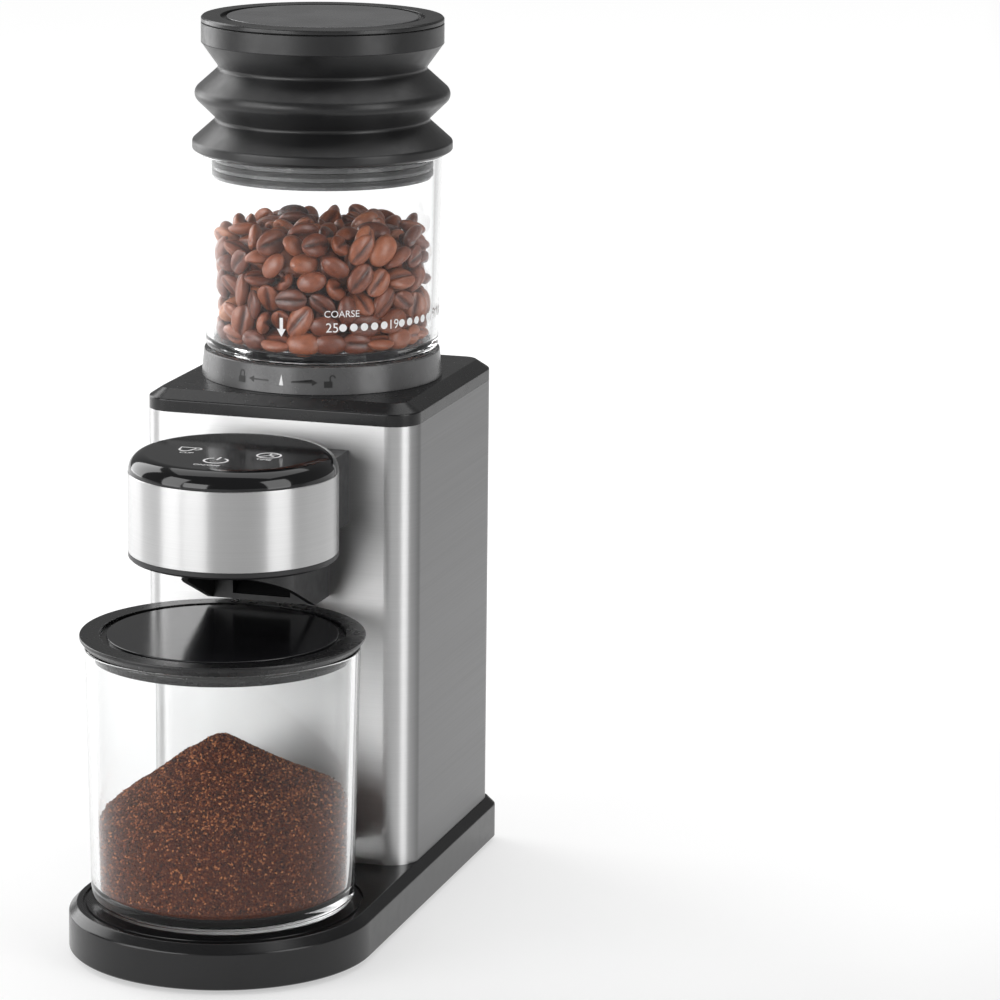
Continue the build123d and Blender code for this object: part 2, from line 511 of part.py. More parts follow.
def make_gearbox():
    """Two-stage train in its tray, under a cover."""
    at = (0.0, AXIS_Y)
    small_gap = IDLER_ANGLE + 180 + 180 / SMALL_TEETH
    output = involute_gear(SECOND_MODULE, OUTPUT_TEETH, SECOND_LOW, SECOND_TOP, IDLER_ANGLE, at)
    save("output_gear", output - rod(SHAFT_R, 90, 130, at))

    idler = involute_gear(FIRST_MODULE, IDLER_TEETH, FIRST_LOW, FIRST_TOP, MOTOR_ANGLE, IDLER_SPOT)
    idler += involute_gear(SECOND_MODULE, SMALL_TEETH, FIRST_TOP - 0.5, SECOND_TOP, small_gap, IDLER_SPOT)
    save("idler_gear", idler - rod(2.56, 90, 130, IDLER_SPOT))
    save("idler_pin", rod(2.5, GEARBOX_LOW + 1, GEARBOX_TOP, IDLER_SPOT))

    pinion_gap = MOTOR_ANGLE + 180 + 180 / PINION_TEETH
    pinion = involute_gear(FIRST_MODULE, PINION_TEETH, FIRST_LOW, FIRST_TOP, pinion_gap, MOTOR_SPOT)
    save("motor_pinion", pinion - rod(2.0, 90, 130, MOTOR_SPOT))

    outline = Pos(0, AXIS_Y) * RectangleRounded(94, 92, 8)
    hollow = Pos(0, AXIS_Y) * RectangleRounded(88, 86, 5)
    tray = slab(outline, GEARBOX_LOW, GEARBOX_TOP) - slab(hollow, GEARBOX_FLOOR, GEARBOX_TOP + CUT)
    tray -= rod(8.0, 90, 105, at)
    tray -= rod(2.5, GEARBOX_LOW + 1, 105, IDLER_SPOT)
    tray -= rod(3.2, 90, 105, MOTOR_SPOT)
    save("gearbox_tray", tray)
    cover = slab(outline, GEARBOX_TOP, GEARBOX_COVER_TOP) + rod(BEARING_R + 2.5, GEARBOX_TOP, 126.0, at)
    save("gearbox_cover", cover - rod(BEARING_R, GEARBOX_TOP - CUT, 130, at))


def make_motor():
    """Motor can with its magnets and end cap, and the armature that turns inside."""
    can = rod(MOTOR_R, MOTOR_LOW + 4, MOTOR_TOP, MOTOR_SPOT)
    can -= rod(MOTOR_R - 1.2, MOTOR_LOW + 3, MOTOR_TOP - 1.5, MOTOR_SPOT)
    save("motor_can", can - rod(2.05, 20, 130, MOTOR_SPOT))
    end = rod(MOTOR_R, MOTOR_LOW, MOTOR_LOW + 4, MOTOR_SPOT) - rod(2.05, MOTOR_LOW + 1, 40, MOTOR_SPOT)
    x, y = MOTOR_SPOT
    for side in (-1, 1):
        end += block(x + side * 12 - 2.5, x + side * 12 + 2.5, y - 0.4, y + 0.4, MOTOR_LOW - 6, MOTOR_LOW)
    save("motor_end_cap", end)
    magnets = []
    for side in (0, 180):
        sector = tube(MOTOR_R - 1.2, MOTOR_R - 5.0, 40, 88, MOTOR_SPOT)
        half = block(x - 30, x + 30, y + 3, y + 30, 30, 95)
        magnets.append(sector & (Pos(x, y, 0) * Rot(0, 0, side) * Pos(-x, -y, 0) * half))
    save("motor_magnets", *magnets)
    core = rod(MOTOR_R - 5.6, 44, 84, MOTOR_SPOT)
    for turn in range(3):
        core -= Pos(*polar(13.0, 120 * turn, MOTOR_SPOT), 64) * Rot(0, 0, 120 * turn) * Box(10, 3, 50)
    core += rod(5.0, 34, 44, MOTOR_SPOT)
    save("motor_armature", core - rod(2.0, 30, 90, MOTOR_SPOT))
    save("motor_shaft", rod(2.0, MOTOR_LOW + 1.5, FIRST_TOP + 1, MOTOR_SPOT))


def make_electrics():
    """Power board with its large components, the clip that holds it, and the hopper sensor."""
    board = block(30, 31.6, 26, 88, 26, 88)
    save("power_board", board)
    transformer = block(12, 30, 30, 50, 30, 52)
    relay = block(16, 30, 62, 80, 32, 44)
    capacitors = []
    for z in (60.0, 76.0):
        capacitors.append(Pos(21, 40, z) * Rot(0, 90, 0) * Cylinder(6.0, 18))
    heat_sink = block(24, 30, 58, 84, 56, 82)
    for row in range(4):
        heat_sink += block(14, 24, 60 + row * 7, 61.6 + row * 7, 56, 82)
    save("power_components", transformer, relay, *capacitors, heat_sink)
    board_clip = block(28.0, 33.6, 34, 80, BASE_TOP + 3.0, 26)
    save("board_clip", board_clip)
    save("hopper_sensor", block(-5, 5, AXIS_Y + 38.2, AXIS_Y + 43, WRAP_TOP - 4, WRAP_TOP))


os.makedirs("parts", exist_ok=True)
make_base()
make_tower()
make_head()
make_chute()
make_canister()
make_hopper()
make_bellows()
make_burrs()
make_gearbox()
make_motor()
make_electrics()
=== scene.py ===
"""Looks of a burr coffee grinder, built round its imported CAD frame. Shapes are drawn in millimetres."""

import math

import bmesh
import bpy
import numpy as np
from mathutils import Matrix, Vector


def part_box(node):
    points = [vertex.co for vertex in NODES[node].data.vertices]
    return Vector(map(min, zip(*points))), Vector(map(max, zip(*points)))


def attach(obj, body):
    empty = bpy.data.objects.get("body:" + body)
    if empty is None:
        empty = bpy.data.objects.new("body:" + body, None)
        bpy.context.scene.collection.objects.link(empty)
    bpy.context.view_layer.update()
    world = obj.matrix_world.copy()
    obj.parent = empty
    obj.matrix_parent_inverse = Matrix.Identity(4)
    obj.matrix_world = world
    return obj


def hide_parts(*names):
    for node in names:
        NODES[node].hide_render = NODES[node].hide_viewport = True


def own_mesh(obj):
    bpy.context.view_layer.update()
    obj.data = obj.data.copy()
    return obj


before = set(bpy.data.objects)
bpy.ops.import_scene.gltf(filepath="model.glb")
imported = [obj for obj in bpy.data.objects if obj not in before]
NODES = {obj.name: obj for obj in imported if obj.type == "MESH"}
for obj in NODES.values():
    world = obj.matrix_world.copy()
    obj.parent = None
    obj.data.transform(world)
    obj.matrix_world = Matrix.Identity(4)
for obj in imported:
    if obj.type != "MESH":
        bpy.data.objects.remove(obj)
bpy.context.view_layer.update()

MM = 0.001
RNG = np.random.default_rng(7)


def box_mm(node):
    """Lowest and highest corner of a CAD node, in millimetres."""
    low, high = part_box(node)
    return [v / MM for v in low], [v / MM for v in high]


# ---------------------------------------------------------------- places, from the frame

BASE_LOW, BASE_HIGH = box_mm("base_cover")
WRAP_LOW, WRAP_HIGH = box_mm("housing_wrap")
TOP_LOW, TOP_HIGH = box_mm("top_plate")
COLLAR_LOW, COLLAR_HIGH = box_mm("hopper_collar")
HOPPER_BOX = box_mm("hopper")
PLUG_LOW, PLUG_HIGH = box_mm("bellows_plug")
BELLOWS_LOW, BELLOWS_HIGH = box_mm("bellows")
BELLOWS_COLLAR = box_mm("bellows_collar")
CAP_LOW, CAP_HIGH = box_mm("bellows_cap")
CAP_DISC = box_mm("bellows_cap_disc")
BAND_LOW, BAND_HIGH = box_mm("head_band")
TOUCH_LOW, TOUCH_HIGH = box_mm("head_touch_cap")
CAN_LOW, CAN_HIGH = box_mm("canister")
LID_LOW, LID_HIGH = box_mm("canister_lid")
LID_DISC = box_mm("canister_lid_disc")

AXIS_Y = (WRAP_LOW[1] + WRAP_HIGH[1]) / 2
HEAD_Y = (BAND_LOW[1] + BAND_HIGH[1]) / 2
CAN_Y = (CAN_LOW[1] + CAN_HIGH[1]) / 2
BASE_HALF = BASE_HIGH[0]
BASE_FRONT_Y = BASE_LOW[1] + BASE_HALF
BASE_TOP = BASE_HIGH[2]
TOWER_HALF = WRAP_HIGH[0]
COLLAR_TAPER = 1.0
HOPPER_FLOOR = COLLAR_HIGH[2] + 0.3
HOPPER_R_LOW = 43.2
CAN_WIDENS = 0.021  # growth of the canister's radius with height

# ---------------------------------------------------------------- mesh helpers


def add_mesh(name, verts, faces, sharp=35.0, weighted=True):
    """Object from millimetre points, smooth shaded with sharp edges kept."""
    mesh = bpy.data.meshes.new(name)
    mesh.from_pydata([tuple(c * MM for c in v) for v in verts], [], faces)
    bm = bmesh.new()
    bm.from_mesh(mesh)
    bmesh.ops.remove_doubles(bm, verts=bm.verts, dist=1e-7)
    bmesh.ops.recalc_face_normals(bm, faces=bm.faces)
    for face in bm.faces:
        face.smooth = True
    for edge in bm.edges:
        edge.smooth = edge.is_manifold and edge.calc_face_angle(0) < math.radians(sharp)
    bm.to_mesh(mesh)
    bm.free()
    obj = bpy.data.objects.new(name, mesh)
    bpy.context.scene.collection.objects.link(obj)
    if weighted:
        modifier = obj.modifiers.new("weighted_normal", "WEIGHTED_NORMAL")
        modifier.keep_sharp = True
    return obj


def rounded(corners, steps=6):
    """Profile points from (a, b, fillet radius) corners of a closed outline."""
    points = []
    count = len(corners)
    for i, (a, b, radius) in enumerate(corners):
        here = Vector((a, b))
        if radius <= 0:
            points.append((a, b))
            continue
        before = (Vector(corners[i - 1][:2]) - here).normalized()
        after = (Vector(corners[(i + 1) % count][:2]) - here).normalized()
        angle = before.angle(after)
        reach = radius / math.tan(angle / 2)
        middle = here + (before + after).normalized() * (radius / math.sin(angle / 2))
        start, end = here + before * reach, here + after * reach
        first, last = start - middle, end - middle
        turn = first.angle_signed(last)
        for step in range(steps + 1):
            spin = -turn * step / steps
            c, s = math.cos(spin), math.sin(spin)
            points.append((middle.x + first.x * c - first.y * s, middle.y + first.x * s + first.y * c))
    return points


def lathe(name, corners, y, body, mat, segments=160, steps=6, sharp=35.0, weighted=True):
    """Closed ring or solid turned about the upright axis at y, from (radius, z, fillet) corners."""
    profile = rounded(corners, steps)
    count = len(profile)
    verts, faces = [], []
    for turn in range(segments):
        angle = 2 * math.pi * turn / segments
        c, s = math.cos(angle), math.sin(angle)
        verts += [(r * c, y + r * s, z) for r, z in profile]
    for turn in range(segments):
        a, b = turn * count, (turn + 1) % segments * count
        for i in range(count):
            j = (i + 1) % count
            if profile[i][0] < 1e-6 and profile[j][0] < 1e-6:
                continue
            if profile[i][0] < 1e-6:
                faces.append((a + i, b + j, a + j))
            elif profile[j][0] < 1e-6:
                faces.append((a + i, b + i, a + j))
            else:
                faces.append((a + i, b + i, b + j, a + j))
    obj = add_mesh(name, verts, faces, sharp, weighted)
    return finish_piece(obj, body, mat)


def finish_piece(obj, body, mat, *replaced):
    """Material, body and the CAD nodes that a piece stands for."""
    obj.data.materials.append(mat)
    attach(obj, body)
    if replaced:
        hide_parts(*replaced)
    return obj


def arc(cx, cy, radius, start, end, steps):
    """Points on an arc, angles in degrees."""
    points = []
    for step in range(steps + 1):
        angle = math.radians(start + (end - start) * step / steps)
        points.append((cx + radius * math.cos(angle), cy + radius * math.sin(angle)))
    return points


def base_outline(inset):
    """Half circle in front, two rounded corners behind."""
    half, rear = BASE_HALF - inset, BASE_HIGH[1] - inset
    corner = max(9.6 - inset, 1.0)
    points = arc(0, BASE_FRONT_Y, half, 180, 360, 96)
    points += arc(half - corner, rear - corner, corner, 0, 90, 12)
    points += arc(-half + corner, rear - corner, corner, 90, 180, 12)
    return points


def tower_outline(inset):
    """Rounded rectangle of the tower."""
    half = TOWER_HALF - inset
    front, rear = WRAP_LOW[1] + inset, WRAP_HIGH[1] - inset
    corner = max(10.7 - inset, 1.0)
    points = arc(-half + corner, front + corner, corner, 180, 270, 16)
    points += arc(half - corner, front + corner, corner, 270, 360, 16)
    points += arc(half - corner, rear - corner, corner, 0, 90, 16)
    points += arc(-half + corner, rear - corner, corner, 90, 180, 16)
    return points


def circle_outline(y, around):
    """Outline function of a circle, called with its radius."""
    return lambda r: arc(0, y, r, 0, 360, around)[:-1]


def sweep(outline, profile):
    """Verts and faces of a wall: an outline drawn at each (inset, z) of an open profile."""
    verts, faces = [], []
    for inset, z in profile:
        verts += [(x, y, z) for x, y in outline(inset)]
    count = len(outline(0))
    for level in range(len(profile) - 1):
        a, b = level * count, (level + 1) * count
        faces += [(a + i, a + (i + 1) % count, b + (i + 1) % count, b + i) for i in range(count)]
    return verts, faces


def plate_with_hole(outer, inner, z):
    """Flat face between two closed outlines, as verts and triangles."""
    bm = bmesh.new()
    edges = []
    for loop in (outer, inner):
        ring = [bm.verts.new((x, y, z)) for x, y in loop]
        edges += [bm.edges.new((ring[i], ring[(i + 1) % len(ring)])) for i in range(len(ring))]
    bmesh.ops.triangle_fill(bm, use_beauty=True, edges=edges)
    bm.verts.index_update()
    verts = [tuple(v.co) for v in bm.verts]
    faces = [tuple(v.index for v in f.verts) for f in bm.faces]
    bm.free()
    return verts, faces


def joined(*parts):
    """One list of verts and faces from several."""
    verts, faces = [], []
    for part_verts, part_faces in parts:
        start = len(verts)
        verts += part_verts
        faces += [tuple(i + start for i in face) for face in part_faces]
    return verts, faces


def fillet_profile(corners, steps=5):
    """Open (inset, z) profile with rounded inner corners."""
    return rounded([(*corners[0][:2], 0), *corners[1:-1], (*corners[-1][:2], 0)], steps)


# ---------------------------------------------------------------- materials


class Shader:
    """A Principled material with a few short ways to add nodes."""

    def __init__(self, name, colour, rough, metallic=0.0, **sockets):
        self.mat = bpy.data.materials.new(name)
        self.mat.use_nodes = True
        self.tree = self.mat.node_tree
        self.bsdf = self.tree.nodes["Principled BSDF"]
        self.output = self.tree.nodes["Material Output"]
        self.bsdf.inputs["Base Color"].default_value = (*colour, 1)
        self.bsdf.inputs["Roughness"].default_value = rough
        self.bsdf.inputs["Metallic"].default_value = metallic
        for socket, value in sockets.items():
            self.bsdf.inputs[socket.replace("_", " ")].default_value = value
        self.place = self.node("ShaderNodeTexCoord").outputs["Object"]

    def node(self, kind, **values):
        node = self.tree.nodes.new(kind)
        for key, value in values.items():
            if hasattr(node, key):
                setattr(node, key, value)
            else:
                node.inputs[key.replace("_", " ")].default_value = value
        return node

    def link(self, source, target):
        self.tree.links.new(source, target)
        return target

    def scaled(self, scale):
        mapping = self.node("ShaderNodeMapping", Scale=scale)
        self.link(self.place, mapping.inputs["Vector"])
        return mapping.outputs["Vector"]

    def noise(self, scale, detail=3.0, rough=0.5, stretch=(1, 1, 1)):
        node = self.node("ShaderNodeTexNoise", Scale=scale, Detail=detail, Roughness=rough)
        self.link(self.scaled(stretch), node.inputs["Vector"])
        return node.outputs["Fac"]

    def ramp(self, source, stops):
        node = self.node("ShaderNodeValToRGB")
        elements = node.color_ramp.elements
        while len(elements) < len(stops):
            elements.new(0.5)
        for element, (position, colour) in zip(elements, stops):
            element.position = position
            element.color = (*colour, 1)
        self.link(source, node.inputs["Fac"])
        return node.outputs["Color"]

    def spread(self, source, low, high, start=0.3, end=0.7):
        node = self.node("ShaderNodeMapRange", From_Min=start, From_Max=end, To_Min=low, To_Max=high)
        self.link(source, node.inputs["Value"])
        return node.outputs["Result"]

    def colour_from(self, source, dark, light, start=0.35, end=0.65):
        self.link(self.ramp(source, [(start, dark), (end, light)]), self.bsdf.inputs["Base Color"])

    def rough_from(self, source, low, high):
        self.link(self.spread(source, low, high), self.bsdf.inputs["Roughness"])

    def bump(self, source, strength, distance):
        node = self.node("ShaderNodeBump", Strength=strength, Distance=distance)
        self.link(source, node.inputs["Height"])
        before = self.bsdf.inputs["Normal"].links
        if before:
            self.link(before[0].from_socket, node.inputs["Normal"])
        self.link(node.outputs["Normal"], self.bsdf.inputs["Normal"])


def shade(colour, factor):
    return tuple(c * factor for c in colour)


def plastic(name, colour, rough, grain=0.12, grain_scale=2600.0, **sockets):
    """Moulded plastic or rubber: faint mottling, fine grain, uneven gloss."""
    mat = Shader(name, colour, rough, **sockets)
    mat.colour_from(mat.noise(60.0, 4.0), shade(colour, 0.88), shade(colour, 1.12))
    mat.rough_from(mat.noise(220.0, 4.0), rough * 0.88, min(rough * 1.12, 1.0))
    if grain:
        mat.bump(mat.noise(grain_scale, 2.0), grain, 0.00006)
    return mat.mat


def brushed(name, colour, rough, front=None, **sockets):
    """Steel brushed along the horizontal; with a front colour given, the sheet's front is painted lighter
    than its sides, a painted highlight for the brighter reflection there.
    """
    mat = Shader(name, colour, rough, metallic=1.0, **sockets)
    fine = mat.noise(900.0, 3.0, 0.65, (0.012, 0.012, 4.0))
    broad = mat.noise(160.0, 3.0, 0.6, (0.03, 0.03, 8.0))
    mat.colour_from(fine, shade(colour, 0.97), shade(colour, 1.03))
    # Painted light: the base colour ramps from the lighter front colour on the front face to the darker side
    # colour a few millimetres back.
    if front:
        split = mat.node("ShaderNodeSeparateXYZ")
        mat.link(mat.place, split.inputs[0])
        depth = mat.spread(split.outputs["Y"], 0.0, 1.0, (WRAP_LOW[1] + 1.0) * MM, (WRAP_LOW[1] + 9.0) * MM)
        lines = mat.spread(fine, 0.97, 1.03)
        painted_front_light = mat.node("ShaderNodeVectorMath", operation="MULTIPLY")
        mat.link(mat.ramp(depth, [(0.0, front), (1.0, colour)]), painted_front_light.inputs[0])
        mat.link(lines, painted_front_light.inputs[1])
        mat.link(painted_front_light.outputs["Vector"], mat.bsdf.inputs["Base Color"])
    mat.rough_from(broad, rough * 0.95, rough * 1.05)
    mat.bump(fine, 0.05, 0.00001)
    return mat.mat


def machined(name, colour, rough):
    """Turned or pressed metal with faint tool marks."""
    mat = Shader(name, colour, rough, metallic=1.0)
    marks = mat.noise(1500.0, 2.0, 0.5, (0.2, 0.2, 3.0))
    mat.colour_from(mat.noise(90.0, 3.0), shade(colour, 0.85), shade(colour, 1.1))
    mat.rough_from(marks, rough * 0.8, rough * 1.25)
    mat.bump(marks, 0.15, 0.00003)
    return mat.mat


def clear(name, tint, smear):
    """Clear glass or plastic that lets lamp light through, with faint wipe marks in its gloss."""
    mat = Shader(name, tint, 0.0, Transmission_Weight=1.0, IOR=1.30)
    mat.rough_from(mat.noise(35.0, 4.0, 0.6), 0.0, smear)
    path = mat.node("ShaderNodeLightPath")
    through = mat.node("ShaderNodeBsdfTransparent", Color=(*shade(tint, 0.97), 1))
    mix = mat.node("ShaderNodeMixShader")
    mat.link(path.outputs["Is Shadow Ray"], mix.inputs["Fac"])
    mat.link(mat.bsdf.outputs["BSDF"], mix.inputs[1])
    mat.link(through.outputs["BSDF"], mix.inputs[2])
    mat.link(mix.outputs["Shader"], mat.output.inputs["Surface"])
    return mat.mat


def roasted(name):
    """Coffee bean skin: each bean has its own tone, darker along the seam as painted shade in the crease,
    and an oily gloss.
    """
    mat = Shader(name, (0.12, 0.045, 0.025), 0.36, Coat_Weight=0.35, Coat_Roughness=0.22)
    tone = mat.node("ShaderNodeAttribute", attribute_name="tone")
    mottle = mat.noise(700.0, 5.0, 0.65)
    mixed = mat.node("ShaderNodeMath", operation="MULTIPLY_ADD")
    mat.link(mottle, mixed.inputs[0])
    mixed.inputs[1].default_value = 0.45
    mat.link(tone.outputs["Fac"], mixed.inputs[2])
    # The darkest stops are reached along the seam, where the tone is lowered: painted shade.
    stops = [(0.15, (0.012, 0.0028, 0.0014)), (0.45, (0.13, 0.030, 0.012)), (0.75, (0.30, 0.090, 0.036)),
             (1.0, (0.50, 0.22, 0.095))]
    mat.link(mat.ramp(mixed.outputs["Value"], stops), mat.bsdf.inputs["Base Color"])
    mat.rough_from(mat.noise(500.0, 3.0), 0.30, 0.50)
    mat.bump(mat.noise(1600.0, 4.0, 0.6), 0.35, 0.00012)
    return mat.mat


def grounds_material(name):
    """Ground coffee: dark and rusty specks."""
    mat = Shader(name, (0.06, 0.014, 0.005), 0.8, Specular_IOR_Level=0.1)
    speck = mat.noise(1500.0, 4.0, 0.7)
    stops = [(0.30, (0.012, 0.0025, 0.001)), (0.50, (0.055, 0.012, 0.004)), (0.66, (0.14, 0.034, 0.011)),
             (0.80, (0.32, 0.10, 0.035))]
    mat.link(mat.ramp(speck, stops), mat.bsdf.inputs["Base Color"])
    mat.rough_from(mat.noise(800.0), 0.6, 0.9)
    mat.bump(mat.noise(1300.0, 3.0, 0.7), 1.0, 0.0009)
    return mat.mat


def grain_material(name):
    """Loose grains of ground coffee, each with its own tone."""
    mat = Shader(name, (0.06, 0.014, 0.005), 0.8, Specular_IOR_Level=0.12)
    tone = mat.node("ShaderNodeAttribute", attribute_name="tone").outputs["Fac"]
    stops = [(0.0, (0.010, 0.0020, 0.0008)), (0.50, (0.070, 0.016, 0.005)), (0.85, (0.20, 0.055, 0.018)),
             (1.0, (0.45, 0.17, 0.06))]
    mat.link(mat.ramp(tone, stops), mat.bsdf.inputs["Base Color"])
    mat.rough_from(mat.noise(900.0), 0.55, 0.85)
    return mat.mat


def board(name):
    """Green circuit board with copper under the mask."""
    mat = Shader(name, (0.01, 0.11, 0.045), 0.4)
    tracks = mat.node("ShaderNodeTexVoronoi", feature="DISTANCE_TO_EDGE", Scale=260.0)
    mat.link(mat.place, tracks.inputs["Vector"])
    mat.colour_from(tracks.outputs["Distance"], (0.02, 0.18, 0.07), (0.006, 0.07, 0.03), 0.03, 0.06)
    mat.bump(tracks.outputs["Distance"], 0.1, 0.00005)
    return mat.mat


def printed(name, colour):
    """Ink or light guide of the markings."""
    mat = Shader(name, colour, 0.45)
    mat.colour_from(mat.noise(900.0, 2.0), shade(colour, 0.92), colour)
    mat.rough_from(mat.noise(300.0), 0.4, 0.5)
    return mat.mat


MATS = {
    "base": plastic("base_plastic", (0.007, 0.007, 0.0075), 0.22, 0.03, Specular_IOR_Level=0.4),
    "top": plastic("top_plastic", (0.007, 0.007, 0.0075), 0.26, 0.03, Specular_IOR_Level=0.4),
    "black": plastic("black_plastic", (0.012, 0.012, 0.013), 0.42),
    "collar": plastic("collar_plastic", (0.085, 0.085, 0.086), 0.26, 0.04),
    "rubber": plastic("rubber", (0.02, 0.02, 0.02), 0.8, 0.3, 1800.0),
    "silicone": plastic("silicone", (0.006, 0.006, 0.0065), 0.36, 0.05, 3000.0, Sheen_Weight=0.08,
                        Sheen_Roughness=0.4),
    "gloss": plastic("gloss_black", (0.004, 0.004, 0.0045), 0.08, 0.0),
    "disc": plastic("disc_plastic", (0.007, 0.007, 0.008), 0.16, 0.03),
    "cap_disc": plastic("cap_disc_plastic", (0.085, 0.085, 0.087), 0.28, 0.03),
    "lid": plastic("lid_plastic", (0.006, 0.006, 0.0065), 0.28, 0.04),
    "glass": clear("canister_glass", (0.975, 0.98, 0.98), 0.008),
    "clear": clear("hopper_clear", (0.975, 0.98, 0.98), 0.008),
    # The steel's front colour is painted light: the tower's front face is coloured lighter than its sides.
    "steel": brushed("brushed_steel", (0.20, 0.20, 0.202), 0.40, front=(0.66, 0.66, 0.66), Anisotropic=0.85,
                     Anisotropic_Rotation=0.25),
    "band": brushed("band_steel", (0.55, 0.55, 0.55), 0.30, Anisotropic=0.85, Anisotropic_Rotation=0.25),
    "inner": plastic("inner_plastic", (0.09, 0.09, 0.10), 0.5),
    "nylon": plastic("nylon", (0.62, 0.59, 0.50), 0.45, 0.05),
    "metal": machined("machined_steel", (0.5, 0.5, 0.5), 0.32),
    "burr": machined("burr_steel", (0.42, 0.42, 0.43), 0.25),
    "brass": machined("brass", (0.72, 0.52, 0.22), 0.3),
    "ferrite": machined("ferrite", (0.08, 0.08, 0.085), 0.6),
    "parts": plastic("components", (0.10, 0.07, 0.05), 0.5),
    "board": board("circuit_board"),
    "bean": roasted("roasted_bean"),
    "grounds": grounds_material("ground_coffee"),
    "grain": grain_material("grain"),
    "ink_white": printed("white_ink", (0.86, 0.86, 0.86)),
    "ink_black": printed("black_ink", (0.012, 0.012, 0.012)),
}

NODE_MATS = {
    "base": ["base_bottom_plate", "cord_gland"],
    "black": ["head_neck", "chute", "head_underside", "back_panel"],
    "rubber": ["rubber_feet", "bellows_seal_1", "bellows_seal_2", "canister_lid_seal", "chamber_seal"],
    "steel": ["housing_wrap"],
    "inner": ["head_drum", "motor_chassis", "upper_posts", "burr_chamber", "outlet_duct", "gearbox_tray",
              "gearbox_cover", "motor_end_cap", "burr_carrier", "grind_adjust_ring", "impeller",
              "board_clip", "hopper_sensor"],
    "nylon": ["output_gear", "idler_gear"],
    "metal": ["base_screws", "back_screws", "base_ballast", "burr_shaft", "burr_nut", "idler_pin",
              "motor_can", "motor_shaft", "upper_bearing", "lower_bearing", "hopper_magnet"],
    "burr": ["lower_burr", "upper_burr"],
    "brass": ["motor_pinion"],
    "ferrite": ["motor_magnets"],
    "parts": ["power_components", "motor_armature"],
    "board": ["touch_board", "power_board"],
}


def dress_nodes():
    """Gives every CAD node that stays in view its material."""
    for key, names in NODE_MATS.items():
        for name in names:
            slots = NODES[name].material_slots
            if not slots:
                NODES[name].data.materials.append(MATS[key])
            for node_slot in NODES[name].material_slots:
                node_slot.material = MATS[key]


# ---------------------------------------------------------------- base and tower


def make_base():
    """Base shell with soft edges, a hollow underneath and the ring line round the canister."""
    low, high = BASE_LOW[2], BASE_TOP
    chamfer, rim, shell, thick, around = 3.0, 4.4, 2.2, 3.2, 160
    outside = fillet_profile([(0.5, low, 0), (0.0, low + 0.5, 0.3), (0.0, high - chamfer, 1.2),
                              (chamfer, high, 0.9), (rim, high, 0)])
    inside = [(0.5, low), (shell, low), (shell, high - thick)]
    under = [(x, y, high - thick) for x, y in base_outline(shell)]
    ring_out, ring_in, slope, depth = 50.2, 49.0, 0.2, 0.8
    circle = circle_outline(CAN_Y, around)
    top = plate_with_hole(base_outline(rim), circle(ring_out), high)
    groove = [(ring_out, high), (ring_out - slope, high - depth), (ring_in + slope, high - depth),
              (ring_in, high)]
    ring_verts, ring_faces = sweep(circle, groove)
    middle = (len(groove) - 1) * around
    ring_faces.append(tuple(middle + i for i in range(around)))
    walls = [sweep(base_outline, outside), sweep(base_outline, inside)]
    verts, faces = joined(*walls, top, (under, [tuple(range(len(under)))]), (ring_verts, ring_faces))
    obj = add_mesh("base_shell", verts, faces)
    finish_piece(obj, "housing", MATS["base"], "base_cover")


def make_top():
    """Black top plate: upright band, sloping edge and flat top with the collar's hole."""
    low, high = TOP_LOW[2], TOP_HIGH[2]
    band, slope, rim, hole_r, around = 3.3, 5.0, 6.4, 38.0, 128
    outside = fillet_profile([(0.0, low, 0), (0.0, high - band, 0.9), (slope, high, 0.8), (rim, high, 0)])
    circle = circle_outline(AXIS_Y, around)
    top = plate_with_hole(tower_outline(rim), circle(hole_r), high)
    bottom = plate_with_hole(tower_outline(0), circle(hole_r), low)
    bore = sweep(circle, [(hole_r, low), (hole_r, high)])
    verts, faces = joined(sweep(tower_outline, outside), top, bottom, bore)
    obj = add_mesh("top_cover", verts, faces)
    finish_piece(obj, "housing", MATS["top"], "top_plate")


def make_collar():
    """Slightly conical ring that the hopper stands in."""
    low, high = COLLAR_LOW[2], COLLAR_HIGH[2]
    r, bore = COLLAR_HIGH[0], 38.0
    corners = [(bore, low, 0), (r, low, 0.2), (r - COLLAR_TAPER, high, 0.6), (bore, high, 0.4)]
    obj = lathe("collar_ring", corners, AXIS_Y, "housing", MATS["collar"])
    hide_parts("hopper_collar")


# ---------------------------------------------------------------- hopper and bellows


def make_hopper():
    """Clear hopper: thick wall, nearly flat floor and bayonet throat."""
    low, high = HOPPER_BOX[0][2], HOPPER_BOX[1][2]
    floor, r_top, wall = HOPPER_FLOOR, HOPPER_BOX[1][0], 2.6
    throat, bore, rise = 31.0, 28.4, 2.4
    corners = [(bore, low, 0.3), (throat, low, 0.3), (throat, floor, 0.5), (HOPPER_R_LOW, floor, 2.2),
               (r_top, high, 0.8), (r_top - wall, high, 0.8), (HOPPER_R_LOW - wall, floor + 3.6, 1.0),
               (bore, floor + rise, 0.8)]
    obj = lathe("hopper_glass", corners, AXIS_Y, "hopper", MATS["clear"], segments=192, steps=8)
    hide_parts("hopper")
    lug_half, lug_long = 1.4, 4.0
    for side, word in ((-1, "left"), (1, "right")):
        x = side * (throat + 1.2)
        low_corner = (x - lug_half, AXIS_Y - lug_long, low + 1)
        high_corner = (x + lug_half, AXIS_Y + lug_long, low + 5)
        lug = add_mesh(f"bayonet_lug_{word}", *bar(low_corner, high_corner))
        bevel(lug, 0.4)
        finish_piece(lug, "hopper", MATS["clear"])


